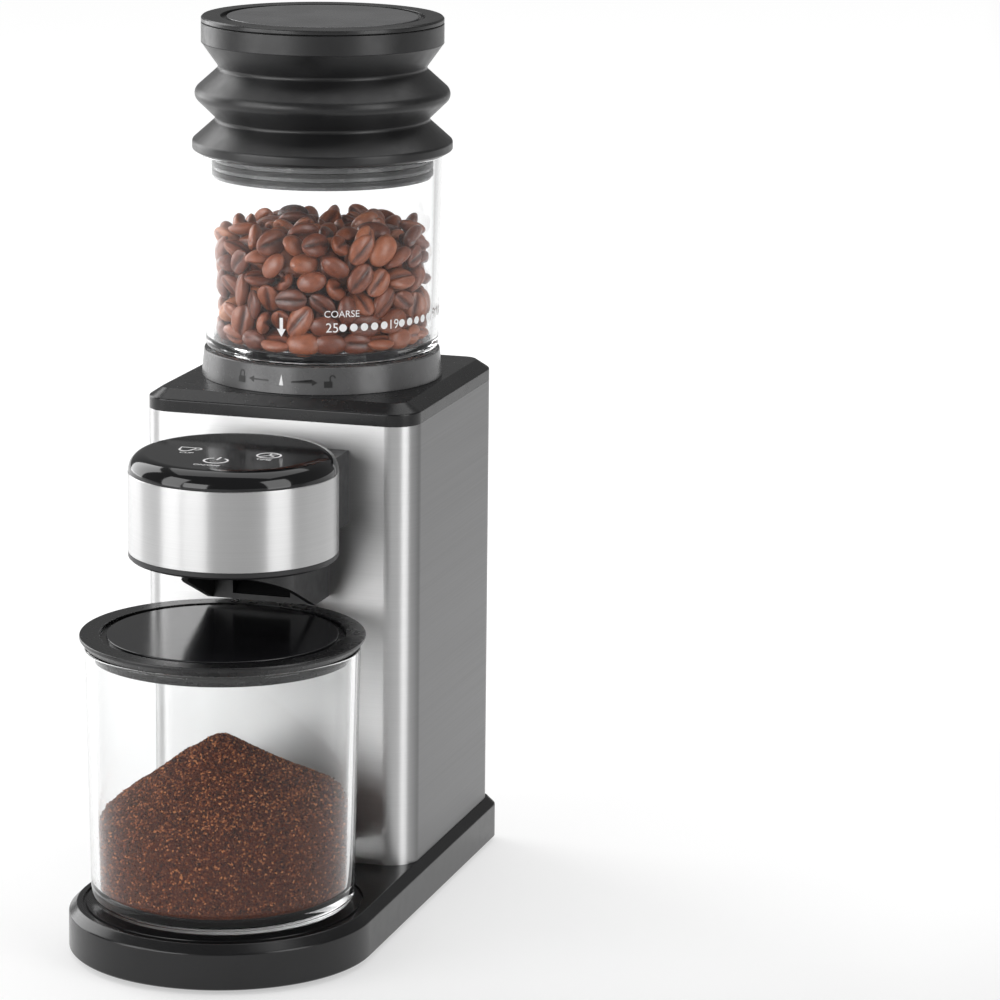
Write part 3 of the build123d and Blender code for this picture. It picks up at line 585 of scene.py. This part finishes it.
def bar(low, high):
    """Verts and faces of a block between two corners, for bevelling."""
    (x0, y0, z0), (x1, y1, z1) = low, high
    verts = [(x, y, z) for z in (z0, z1) for x, y in ((x0, y0), (x1, y0), (x1, y1), (x0, y1))]
    faces = [(0, 3, 2, 1), (4, 5, 6, 7), (0, 1, 5, 4), (1, 2, 6, 5), (2, 3, 7, 6), (3, 0, 4, 7)]
    return verts, faces


def bevel(obj, width_mm, segments=3):
    """Rounded edges for a block."""
    modifier = obj.modifiers.new("bevel", "BEVEL")
    modifier.width = width_mm * MM
    modifier.segments = segments
    modifier.limit_method = "ANGLE"
    return obj


def make_bellows():
    """Plug with its ribs, the folded silicone, the band under the cap, and the cap with its disc."""
    make_plug()
    make_folds()
    low, high = BELLOWS_COLLAR[0][2] + 0.05, BELLOWS_COLLAR[1][2]
    r, bore = BELLOWS_COLLAR[1][0], 36.5
    corners = [(bore, low, 0), (r, low, 0.15), (r, high, 0.25), (bore, high, 0)]
    band = lathe("silicone_band", corners, AXIS_Y, "bellows_cap", MATS["silicone"], segments=192)
    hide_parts("bellows_collar")

    low, high = CAP_LOW[2], CAP_HIGH[2]
    r, dish, sunk = CAP_HIGH[0], 37.5, 1.2
    corners = [(0, low, 0), (r - 0.5, low, 0.2), (r, low + 0.5, 0.3), (r, high - 0.6, 0.5),
               (r - 0.6, high, 0.3), (dish, high, 0.25), (dish, high - sunk, 0), (0, high - sunk, 0)]
    cap = lathe("cap_ring", corners, AXIS_Y, "bellows_cap", MATS["lid"], segments=192, steps=4)
    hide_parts("bellows_cap")
    disc = flat_disc("cap_inset_disc", CAP_DISC, CAP_DISC[0][2], AXIS_Y, "bellows_cap", MATS["cap_disc"])
    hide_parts("bellows_cap_disc")


def make_plug():
    """Ring that stands in the hopper's mouth, with two shallow grooves."""
    low, high = PLUG_LOW[2], PLUG_HIGH[2]
    r, bore, deep, wide = PLUG_HIGH[0], 36.0, 1.0, 1.6
    ribs = []
    for z in (low + 1.4, low + 4.6):
        ribs += [(r, z, 0.2), (r - deep, z, 0), (r - deep, z + wide, 0), (r, z + wide, 0.2)]
    corners = [(bore, low, 0.4), (r, low, 0.4), *ribs, (r, high, 0), (bore, high, 0)]
    plug = lathe("plug_ring", corners, AXIS_Y, "bellows_base", MATS["collar"], steps=3)
    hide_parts("bellows_plug")


def make_folds():
    """Two folds of silicone over the plug, drawn open; on the real grinder they close up when the cap is
    pressed.
    """
    bottom, top = BELLOWS_LOW[2], BELLOWS_HIGH[2]
    lip, throat = BELLOWS_HIGH[0], 36.2
    first, ridge, second = bottom + 12.0, bottom + 21.3, bottom + 30.8
    outer = [(46.3, bottom, 0.6), (lip, bottom + 1.0, 0.8), (lip, bottom + 4.0, 1.4), (39.0, first, 1.3),
             (48.6, ridge, 3.4), (38.0, second, 1.4), (44.6, top, 0)]
    inner = [(42.0, top, 0), (throat, second, 1.0), (45.2, ridge, 2.0), (throat, first, 1.0),
             (44.6, bottom + 4.0, 1.0), (throat, bottom, 0)]
    folds = lathe("silicone_folds", outer + inner, AXIS_Y, "bellows_base", MATS["silicone"], segments=192,
                  steps=8, sharp=50.0, weighted=False)
    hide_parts("bellows")
    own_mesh(folds)


def flat_disc(name, box, low, y, body, mat):
    """Inset disc with a soft edge, as wide and as high as a CAD disc's box."""
    r, high = box[1][0], box[1][2]
    corners = [(0, low, 0), (r, low, 0), (r, high, 0.35), (0, high, 0)]
    return lathe(name, corners, y, body, mat, segments=192)


# ---------------------------------------------------------------- head


def make_head():
    """Steel band and glossy cap of the round head."""
    low, high = BAND_LOW[2], BAND_HIGH[2]
    r, thick = BAND_HIGH[0], 0.8
    corners = [(r - thick, low, 0.1), (r, low, 0.25), (r, high, 0.25), (r - thick, high, 0.1)]
    band = lathe("steel_band", corners, HEAD_Y, "housing", MATS["band"], segments=224, steps=4)
    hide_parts("head_band")

    low, high = TOUCH_LOW[2], TOUCH_HIGH[2]
    r, rim, thick = TOUCH_HIGH[0], 7.5, 2.0
    corners = [(r - rim, low, 0), (r - 0.15, low, 0.2), (r - 0.1, high, 6.2), (0, high, 0),
               (0, high - thick, 0), (r - rim, high - thick, 0)]
    cap = lathe("touch_cap", corners, HEAD_Y, "housing", MATS["gloss"], segments=224, steps=14)
    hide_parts("head_touch_cap")


# ---------------------------------------------------------------- canister


def make_canister():
    """Clear canister with a rounded foot, and its lid."""
    low, high = CAN_LOW[2], CAN_HIGH[2]
    r_low, r_top, wall, floor = 47.0, CAN_HIGH[0], 3.0, low + 4.0
    corners = [(0, low + 0.5, 0), (r_low - 7.0, low + 0.5, 0.6), (r_low - 6.0, low, 0.5),
               (r_low + 0.02, low, 4.2), (r_top, high, 0.9), (r_top - wall, high, 0.9),
               (r_low - wall, floor, 4.0), (0, floor, 0)]
    can = lathe("canister_glass", corners, CAN_Y, "canister", MATS["glass"], segments=224, steps=8)
    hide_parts("canister")
    make_lid()


def make_lid():
    """Lid with a skirt and its groove, a dished top and an inset disc."""
    low, high = LID_LOW[2], LID_HIGH[2]
    r, skirt, inner, dish, sunk = LID_HIGH[0], 45.2, 42.7, 43.5, 1.2
    groove, groove_low, groove_high = skirt - 1.0, low + 1.7, low + 3.3
    corners = [(0, low + 3.5, 0), (inner, low + 3.5, 0.5), (inner, low, 0.4), (skirt, low, 0.4),
               (skirt, groove_low, 0), (groove, groove_low, 0), (groove, groove_high, 0),
               (skirt, groove_high, 0), (skirt, low + 4.5, 0), (r - 1.8, low + 4.5, 0.5),
               (r, high - 1.2, 0.5), (r, high, 0.45), (dish, high, 0.3), (dish, high - sunk, 0),
               (0, high - sunk, 0)]
    lid = lathe("lid_shell", corners, CAN_Y, "canister_lid", MATS["lid"], segments=192, steps=4)
    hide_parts("canister_lid")
    disc = flat_disc("lid_inset_disc", LID_DISC, LID_DISC[0][2] - 0.4, CAN_Y, "canister_lid", MATS["disc"])
    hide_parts("canister_lid_disc")


# ---------------------------------------------------------------- coffee beans


BEAN_LENGTH, BEAN_WIDTH, BEAN_THICK = 5.9, 4.2, 3.0  # half sizes
BEAN_COUNT = 430
BEAN_TOP = 251.0


def bean_shape(rings=14, around=28):
    """One bean lying on its flat side, with a curved seam along the flat."""
    verts, faces = [(-1, 0, 0)], []
    for i in range(1, rings):
        polar = math.pi * i / rings
        for j in range(around):
            turn = 2 * math.pi * j / around
            ring = math.sin(polar)
            verts.append((-math.cos(polar), ring * math.cos(turn), ring * math.sin(turn)))
    verts.append((1, 0, 0))
    last = len(verts) - 1
    for j in range(around):
        k = (j + 1) % around
        faces.append((0, 1 + k, 1 + j))
        faces.append((last, last - around + j, last - around + k))
        for i in range(rings - 2):
            a, b = 1 + i * around, 1 + (i + 1) * around
            faces.append((a + j, a + k, b + k, b + j))
    points = np.array(verts)
    x, y, z = points.T.copy()
    flat = z < 0
    seam_and_shade = np.exp(-((y - 0.10 * np.sin(x * 2.4)) / 0.15) ** 2) * np.clip(1.15 - x * x, 0, 1)
    z[flat] = z[flat] * 0.62 + seam_and_shade[flat] * 0.42
    y = y * (1 + 0.05 * x)
    # The seam mask shapes the crease and is also returned to darken the tone along it, as painted shade.
    return np.stack([x * BEAN_LENGTH, y * BEAN_WIDTH, z * BEAN_THICK], 1), faces, seam_and_shade * flat


def settle(count, wall_low, wall_high, floor, top):
    """Rods of three balls shaken down inside the hopper: returns centres and directions."""
    radius, reach = 3.75, 2.9
    spin, spread = RNG.uniform(0, 2 * np.pi, count), 35.0 * np.sqrt(RNG.uniform(0, 1, count))
    height = RNG.uniform(floor + 4, top + 8, count)
    middle = np.stack([spread * np.cos(spin), spread * np.sin(spin), height], 1)
    axis = RNG.normal(size=(count, 3))
    axis /= np.linalg.norm(axis, axis=1)[:, None]
    balls = np.stack([middle - axis * reach, middle, middle + axis * reach], 1)
    owner = np.repeat(np.arange(count), 3)
    upper = np.triu(owner[:, None] != owner[None, :], 1)
    for step in range(260):
        flat = balls.reshape(-1, 3)
        if step < 200:
            flat[:, 2] -= 0.35
        squares = (flat ** 2).sum(1)
        apart = squares[:, None] + squares[None, :] - 2 * flat @ flat.T
        a, b = np.nonzero((apart < 4 * radius ** 2) & upper)
        gap = flat[a] - flat[b]
        dist = np.linalg.norm(gap, axis=1) + 1e-6
        push = gap * (np.clip(2 * radius - dist, 0, None) / dist * 0.25)[:, None]
        np.add.at(flat, a, push)
        np.add.at(flat, b, -push)
        height = np.clip((flat[:, 2] - floor) / 60.0, 0, 1)
        limit = wall_low + (wall_high - wall_low) * height - radius
        from_axis = np.hypot(flat[:, 0], flat[:, 1]) + 1e-6
        squeeze = np.minimum(1.0, limit / from_axis)
        flat[:, :2] *= squeeze[:, None]
        flat[:, 2] = np.maximum(flat[:, 2], floor + radius)
        balls = flat.reshape(-1, 3, 3)
        middle = balls.mean(1)
        axis = balls[:, 2] - balls[:, 0]
        axis /= np.linalg.norm(axis, axis=1)[:, None]
        balls = np.stack([middle - axis * reach, middle, middle + axis * reach], 1)
    return middle, axis


def make_beans():
    """Beans filling the hopper, each with its own size, turn and tone."""
    shape, shape_faces, seam_and_shade = bean_shape()
    floor = COLLAR_HIGH[2] + 3.6
    middle, axis = settle(BEAN_COUNT, 40.2, 40.8, floor, BEAN_TOP)
    verts, faces, tones = [], [], []
    for centre, along in zip(middle, axis):
        size = RNG.uniform(0.90, 1.12)
        outward = np.array([centre[0], centre[1], 0.0]) + RNG.normal(size=3) * 22.0
        if RNG.random() < 0.62:
            outward = -outward
        side = np.cross(outward, along)
        side /= np.linalg.norm(side) + 1e-9
        normal = np.cross(along, side)
        turn = np.stack([along, side, normal], 1)
        points = (shape * size) @ turn.T + centre
        start = len(verts)
        verts += [tuple(p) for p in points + np.array([0, AXIS_Y, 0])]
        faces += [tuple(i + start for i in face) for face in shape_faces]
        # Each bean's tone is lowered along its seam: painted shade in the crease.
        tones += list(RNG.normal(0.33, 0.13) - seam_and_shade * 0.42)
    obj = soup("coffee_beans", verts, faces, tones)
    finish_piece(obj, "hopper", MATS["bean"])


def soup(name, verts, faces, tones=None):
    """Object of many separate closed shapes, smooth shaded, with a tone for each point."""
    mesh = bpy.data.meshes.new(name)
    mesh.from_pydata([tuple(c * MM for c in v) for v in verts], [], faces)
    mesh.polygons.foreach_set("use_smooth", [tones is not None] * len(mesh.polygons))
    if tones is not None:
        layer = mesh.attributes.new("tone", "FLOAT", "POINT")
        layer.data.foreach_set("value", np.clip(tones, 0.0, 1.0).astype(np.float32))
    mesh.update()
    obj = bpy.data.objects.new(name, mesh)
    bpy.context.scene.collection.objects.link(obj)
    return obj


# ---------------------------------------------------------------- ground coffee


HEAP_APEX = 81.0
GRAIN_COUNT = 26000


def smooth_noise(x, y, scale, seed):
    """Cheap rolling noise from a few sine waves."""
    waves = np.random.default_rng(seed).uniform(-1, 1, size=(7, 4))
    total = 0.0
    for kx, ky, phase, size in waves:
        total = total + (0.6 + abs(size)) * np.sin(x * scale * (1 + kx) + y * scale * ky * 2 + phase * 6)
    return total / 7


def heap_height(x, y):
    """Top of the heap: a rounded cone that dips and rises along the wall."""
    r = np.hypot(x, y)
    slope = HEAP_APEX - 0.66 * np.sqrt(r * r + 6.0) + 0.0006 * r * r
    lean = 0.07 * x * (r / 43.0) + 0.05 * y * (r / 43.0)
    return slope + lean + 0.9 * smooth_noise(x, y, 0.16, 3) + 0.5 * smooth_noise(x, y, 0.5, 5)


def make_grounds():
    """Heap of ground coffee, closed against the glass, with loose grains over its skin."""
    floor = CAN_LOW[2] + 4.35
    wall_r = 43.55
    rings, around, levels = 44, 176, 34
    foot_r = wall_r - 3.2

    def ring_at(r, height):
        angle = np.arange(around) / around * 2 * np.pi
        x, y = r * np.cos(angle), r * np.sin(angle)
        z = height(x, y) if callable(height) else np.full(around, height)
        return np.stack([x, y, z], 1)

    rows = [ring_at(wall_r * (i + 1) / rings, heap_height) for i in range(rings)]
    edge = rows[-1]
    for level in range(1, levels + 1):
        share = level / levels
        row = edge.copy()
        row[:, 2] = edge[:, 2] + (floor - edge[:, 2]) * share
        depth = np.clip((row[:, 2] - floor) / 3.2, 0, 1)
        radius = foot_r + (wall_r - foot_r) * np.sqrt(1 - (1 - depth) ** 2)
        radius = radius + (row[:, 2] - floor) * CAN_WIDENS
        row[:, 0], row[:, 1] = edge[:, 0] / wall_r * radius, edge[:, 1] / wall_r * radius
        rows.append(row)
    verts = [(0.0, 0.0, float(heap_height(0.0, 0.0)))] + [tuple(p) for row in rows for p in row]
    verts.append((0.0, 0.0, floor))
    faces = [(0, 1 + i, 1 + (i + 1) % around) for i in range(around)]
    for level in range(len(rows) - 1):
        a, b = 1 + level * around, 1 + (level + 1) * around
        faces += [(a + i, b + i, b + (i + 1) % around, a + (i + 1) % around) for i in range(around)]
    last, end = len(verts) - 1, 1 + (len(rows) - 1) * around
    faces += [(last, end + (i + 1) % around, end + i) for i in range(around)]
    verts = [(x, y + CAN_Y, z) for x, y, z in verts]
    heap = add_mesh("ground_coffee_heap", verts, faces, sharp=180.0, weighted=False)
    finish_piece(heap, "canister", MATS["grounds"])
    make_grains(wall_r, floor)


def make_grains(wall_r, floor):
    """Loose grains on the heap and against the glass."""
    ico = [(0, 0, 1), (0.9, 0, -0.3), (-0.45, 0.8, -0.35), (-0.45, -0.8, -0.3), (0.3, 0.5, 0.5)]
    ico_faces = [(0, 3, 1), (0, 1, 4), (0, 4, 2), (0, 2, 3), (1, 3, 2), (1, 2, 4)]
    shape = np.array(ico)
    verts, faces, tones = [], [], []
    for index in range(GRAIN_COUNT):
        angle = RNG.uniform(0, 2 * np.pi)
        if index % 9 < 5:
            r = wall_r * math.sqrt(RNG.uniform(0, 1)) * 0.99
            x, y = r * math.cos(angle), r * math.sin(angle)
            z = float(heap_height(x, y)) + 0.05
        else:
            x, y = wall_r * math.cos(angle), wall_r * math.sin(angle)
            top = float(heap_height(x, y))
            z = RNG.uniform(floor + 3.5, top)
            shift = 1 + (z - floor) * CAN_WIDENS / wall_r - 0.002
            x, y = x * shift, y * shift
        size = RNG.uniform(0.34, 0.80)
        turn = np.linalg.qr(RNG.normal(size=(3, 3)))[0]
        points = shape * (size * RNG.uniform(0.7, 1.3, 3)) @ turn + np.array([x, y + CAN_Y, z])
        start = len(verts)
        verts += [tuple(p) for p in points]
        faces += [tuple(i + start for i in face) for face in ico_faces]
        tones += [RNG.uniform(0, 1)] * len(ico)
    obj = soup("ground_coffee_grains", verts, faces, tones)
    obj.data.polygons.foreach_set("use_smooth", [False] * len(obj.data.polygons))
    finish_piece(obj, "canister", MATS["grain"])


# ---------------------------------------------------------------- markings


INK_DEPTH = 0.06
DIAL_R, LOCK_R = 43.4, 44.2  # radii at which arc lengths are laid out


def stroke(points, width, closed=False):
    """Flat ribbon along 2D points: quads as (points, faces)."""
    path = [Vector(p) for p in points]
    count = len(path)
    left, right = [], []
    for i, here in enumerate(path):
        before = path[i - 1] if (i or closed) else here
        after = path[(i + 1) % count] if (i < count - 1 or closed) else here
        along = (after - before).normalized()
        side = Vector((-along.y, along.x)) * (width / 2)
        left.append(tuple(here + side))
        right.append(tuple(here - side))
    faces = [(i, i + 1, count + i + 1, count + i) for i in range(count - 1)]
    if closed:
        faces.append((count - 1, 0, count, 2 * count - 1))
    return left + right, faces


def filled(points):
    return list(points), [tuple(range(len(points)))]


def dot(u, v, radius):
    return filled(arc(u, v, radius, 0, 360, 24)[:-1])



def text_shape(words, size, u, v):
    """Flat outline of a few characters, centred at (u, v)."""
    curve = bpy.data.curves.new("text", "FONT")
    curve.body = words
    curve.size = size
    curve.align_x = "CENTER"
    curve.align_y = "CENTER"
    curve.resolution_u = 6
    obj = bpy.data.objects.new("text", curve)
    bpy.context.scene.collection.objects.link(obj)
    bpy.context.view_layer.update()
    mesh = bpy.data.meshes.new_from_object(obj)
    points = [(p.co.x + u, p.co.y + v) for p in mesh.vertices]
    faces = [tuple(f.vertices) for f in mesh.polygons]
    bpy.data.objects.remove(obj)
    bpy.data.meshes.remove(mesh)
    return points, faces


def ink(name, parts, place, body, mat, max_edge=1.6):
    """Thin solid mark: 2D parts carried onto a surface by place(u, v, depth)."""
    flat, faces = joined(*[([(*p, 0.0) for p in pts], fcs) for pts, fcs in parts])
    bm = bmesh.new()
    verts = [bm.verts.new(p) for p in flat]
    for face in faces:
        try:
            bm.faces.new([verts[i] for i in face])
        except ValueError:
            continue
    bmesh.ops.triangulate(bm, faces=[f for f in bm.faces if len(f.verts) > 4])
    for _ in range(3):
        long_edges = [e for e in bm.edges if e.calc_length() > max_edge]
        if long_edges:
            bmesh.ops.subdivide_edges(bm, edges=long_edges, cuts=1, use_grid_fill=False)
    bmesh.ops.recalc_face_normals(bm, faces=bm.faces)
    grown = bmesh.ops.extrude_face_region(bm, geom=list(bm.faces))
    raised = {v for v in grown["geom"] if isinstance(v, bmesh.types.BMVert)}
    bm.verts.index_update()
    spots = []
    for vert in bm.verts:
        spots.append(place(vert.co.x, vert.co.y, INK_DEPTH if vert in raised else 0.0))
    for vert, spot in zip(bm.verts, spots):
        vert.co = Vector(spot) * MM
    bmesh.ops.recalc_face_normals(bm, faces=bm.faces)
    mesh = bpy.data.meshes.new(name)
    bm.to_mesh(mesh)
    bm.free()
    obj = bpy.data.objects.new(name, mesh)
    bpy.context.scene.collection.objects.link(obj)
    return finish_piece(obj, body, mat)


def round_hopper(u, v, depth):
    """Onto the hopper's glass: u is an arc length to the right of the front, v a height."""
    share = (v - HOPPER_FLOOR) / (HOPPER_BOX[1][2] - HOPPER_FLOOR)
    r = HOPPER_R_LOW + (HOPPER_BOX[1][0] - HOPPER_R_LOW) * share + 0.02 + depth
    angle = u / DIAL_R
    return r * math.sin(angle), AXIS_Y - r * math.cos(angle), v


def round_collar(u, v, depth):
    """Onto the collar's sloping face."""
    share = (v - COLLAR_LOW[2]) / (COLLAR_HIGH[2] - COLLAR_LOW[2])
    r = COLLAR_HIGH[0] - COLLAR_TAPER * share + 0.02 + depth
    angle = u / LOCK_R
    return r * math.sin(angle), AXIS_Y - r * math.cos(angle), v


def on_touch_cap(u, v, depth):
    """Onto the flat top of the head."""
    return u, v + HEAD_Y, TOUCH_HIGH[2] + 0.01 + depth * 0.5


def arrow(u, v0, v1, width, head):
    """Arrow from (u, v0) to (u, v1)."""
    way = 1 if v1 > v0 else -1
    neck = v1 - way * head
    return filled([(u - width / 2, v0), (u + width / 2, v0), (u + width / 2, neck), (u + width * 1.35, neck),
                   (u, v1), (u - width * 1.35, neck), (u - width / 2, neck)])


def side_arrow(u0, u1, v, width, head):
    """Level arrow from u0 to u1."""
    way = 1 if u1 > u0 else -1
    neck = u1 - way * head
    return filled([(u0, v - width / 2), (neck, v - width / 2), (neck, v - width * 2.2), (u1, v),
                   (neck, v + width * 2.2), (neck, v + width / 2), (u0, v + width / 2)])


def padlock(u, v, open_shackle):
    """Body and shackle of a small padlock."""
    body = filled([(u - 1.5, v - 1.8), (u + 1.5, v - 1.8), (u + 1.5, v + 0.5), (u - 1.5, v + 0.5)])
    shift = 1.6 if open_shackle else 0.0
    legs = [(u - 0.9 + shift, v + 0.5)] + [(x + shift, y) for x, y in arc(u, v + 1.7, 0.9, 180, 0, 10)]
    if not open_shackle:
        legs.append((u + 0.9, v + 0.5))
    return [body, stroke(legs, 0.45)]


DIAL_V = 214.5
DIAL_STEP_DEG = 5.32
DIAL_START_DEG = 23.5


def make_markings():
    """Dial and arrow on the hopper, lock marks on the collar, icons on the touch cap."""
    deg = DIAL_R * math.pi / 180
    marks = [arrow(-1.25 * deg, 217.9, 210.9, 1.25, 2.9)]
    for index in range(25):
        setting = 25 - index
        u = (DIAL_START_DEG + DIAL_STEP_DEG * index) * deg
        if setting % 6 == 1:
            marks.append(text_shape(str(setting), 4.9, u, DIAL_V))
        else:
            marks.append(dot(u - 0.1, DIAL_V + 0.1, 1.42))
    marks.append(text_shape("COARSE", 3.5, 28.2 * deg, 219.6))
    marks.append(text_shape("FINE", 3.5, 146.0 * deg, 219.6))
    ink("dial_marks", marks, round_hopper, "hopper", MATS["ink_white"])

    deg = LOCK_R * math.pi / 180
    v = 194.6
    locks = padlock(-22.4 * deg, v, False) + padlock(21.6 * deg, v, True)
    for start, end in ((-7.5, -18.0), (4.0, 16.5)):
        locks.append(side_arrow(start * deg, end * deg, v, 0.5, 2.0))
    ink("lock_marks", locks, round_collar, "housing", MATS["ink_black"])
    pointer = [filled([(-0.9 * deg - 0.8, 193.2), (-0.9 * deg + 0.8, 193.2), (-0.9 * deg, 197.2)])]
    ink("setting_pointer", pointer, round_collar, "housing", MATS["ink_white"])

    icons = cup_icon(-15.6, -1.5) + power_icon(-0.6, -16.5) + timer_icon(14.2, -2.5)
    icons += [text_shape("CUP", 2.7, -15.0, -7.4), text_shape("ON/OFF", 2.7, -1.2, -24.6),
              text_shape("TIME", 2.7, 14.6, -9.6)]
    ink("touch_icons", icons, on_touch_cap, "housing", MATS["ink_white"])


def cup_icon(u, v):
    bowl = [(u - 4.2, v + 2.6), (u - 3.6, v - 1.6)] + arc(u - 1.4, v - 1.0, 2.2, 200, 340, 8) + [
        (u + 1.6, v + 2.6)]
    handle = arc(u + 2.0, v + 1.0, 1.7, 100, -100, 10)
    return [stroke(bowl, 0.75, closed=True), stroke(handle, 0.7)]


def power_icon(u, v):
    ring = arc(u, v, 4.2, 118, 422, 32)
    return [stroke(ring, 0.75), stroke([(u, v + 5.6), (u, v + 1.2)], 0.75)]


def timer_icon(u, v):
    face = arc(u, v, 4.2, 0, 360, 32)[:-1]
    return [stroke(face, 0.75, closed=True), stroke([(u, v + 3.0), (u, v), (u + 2.2, v - 1.2)], 0.7),
            stroke([(u - 3.0, v - 3.0), (u + 3.0, v + 3.0)], 0.6)]


# ---------------------------------------------------------------- studio


CAMERA_AZ, CAMERA_EL = 16.44, 12.67
CAMERA_DISTANCE = 1.6479
CAMERA_TARGET = (0.08584, -0.00023, 0.15918)
CAMERA_ROLL = 0.61
CAMERA_LENS = 165.97


def direction(azimuth, elevation=0.0):
    """Unit vector from the object towards a place: azimuth 0 is the front, positive to the right."""
    a, e = math.radians(azimuth), math.radians(elevation)
    return Vector((math.sin(a) * math.cos(e), -math.cos(a) * math.cos(e), math.sin(e)))


def make_camera():
    data = bpy.data.cameras.new("camera")
    data.lens = CAMERA_LENS
    data.sensor_width = 36.0
    data.clip_start, data.clip_end = 0.05, 60.0
    camera = bpy.data.objects.new("camera", data)
    bpy.context.scene.collection.objects.link(camera)
    back = direction(CAMERA_AZ, CAMERA_EL)
    camera.location = Vector(CAMERA_TARGET) + back * CAMERA_DISTANCE
    upright = back.to_track_quat("Z", "Y").to_matrix()
    roll = math.radians(CAMERA_ROLL)
    right = upright.col[0] * math.cos(roll) + upright.col[1] * math.sin(roll)
    up = upright.col[1] * math.cos(roll) - upright.col[0] * math.sin(roll)
    for column, axis in enumerate((right, up, back)):
        upright.col[column] = axis
    camera.rotation_euler = upright.to_euler()
    bpy.context.scene.camera = camera


def softbox(name, azimuth, elevation, distance, width, height, radiance, aim=(0, 0, 0.16)):
    """Rectangular lamp that shines at the object from a direction."""
    data = bpy.data.lights.new(name, "AREA")
    data.shape = "RECTANGLE"
    data.size, data.size_y = width, height
    data.energy = radiance * math.pi * width * height
    lamp = bpy.data.objects.new(name, data)
    bpy.context.scene.collection.objects.link(lamp)
    away = direction(azimuth, elevation)
    lamp.location = Vector(aim) + away * distance
    lamp.rotation_euler = away.to_track_quat("Z", "Y").to_euler()
    return lamp


def paper(name):
    """Pale paper with a soft glow, strongest behind the object, so that it stays white far away."""
    mat = Shader(name, (0.5, 0.5, 0.5), 0.8, Specular_IOR_Level=0.1)
    mat.colour_from(mat.noise(1.2, 2.0), (0.495, 0.495, 0.495), (0.505, 0.505, 0.505))
    away, across = (-0.283, 0.959, 0.0), (0.990, 0.179, 0.0)  # directions on the floor
    levels = []
    for axis, start, end in ((away, -2.2, 1.8), (across, 0.24, 1.8)):
        dot_product = mat.node("ShaderNodeVectorMath", operation="DOT_PRODUCT")
        mat.link(mat.place, dot_product.inputs[0])
        dot_product.inputs[1].default_value = axis
        levels.append(mat.spread(dot_product.outputs["Value"], 0.0, 1.0, start, end))
    depth_stops = [(0.0, 0.75), (0.25, 0.45), (0.46, 0.12), (0.50, 0.40), (0.55, 0.53), (1.0, 0.85)]
    side_stops = [(0.0, 1.0), (0.23, 0.5), (0.5, 0.7), (1.0, 1.0)]
    both = mat.node("ShaderNodeMath", operation="MULTIPLY")
    mat.link(mat.ramp(levels[0], [(at, (v, v, v)) for at, v in depth_stops]), both.inputs[0])
    mat.link(mat.ramp(levels[1], [(at, (v, v, v)) for at, v in side_stops]), both.inputs[1])
    mat.bsdf.inputs["Emission Color"].default_value = (1, 1, 1, 1)
    mat.link(both.outputs["Value"], mat.bsdf.inputs["Emission Strength"])
    return mat.mat


def make_studio():
    """Pale floor, soft lamps on both sides and above, and a plain grey surround."""
    size = 14.0
    verts = [(-size, -size, 0), (size, -size, 0), (size, size, 0), (-size, size, 0)]
    mesh = bpy.data.meshes.new("floor")
    mesh.from_pydata(verts, [], [(0, 1, 2, 3)])
    floor = bpy.data.objects.new("floor", mesh)
    bpy.context.scene.collection.objects.link(floor)
    floor.data.materials.append(paper("floor_paper"))
    softbox("left_box", -50.0, 18.0, 1.7, 0.75, 1.5, 3.6)
    softbox("front_left_box", -22.0, 11.0, 1.9, 0.9, 0.85, 4.4)
    softbox("right_box", 69.0, 18.0, 1.7, 0.85, 1.5, 3.0)
    softbox("rear_left_box", -112.0, 20.0, 1.8, 1.1, 1.6, 3.2)
    softbox("top_box", 0.0, 90.0, 1.5, 1.9, 1.5, 1.5, aim=(0, 0.45, 0))
    world = bpy.data.worlds.new("surround")
    bpy.context.scene.world = world
    world.use_nodes = True
    background = world.node_tree.nodes["Background"]
    background.inputs["Color"].default_value = (1.0, 1.0, 1.0, 1)
    background.inputs["Strength"].default_value = 0.20
    bpy.context.scene.view_settings.view_transform = "Standard"


dress_nodes()
make_base()
make_top()
make_collar()
make_hopper()
make_bellows()
make_head()
make_canister()
make_beans()
make_grounds()
make_markings()
make_camera()
make_studio()
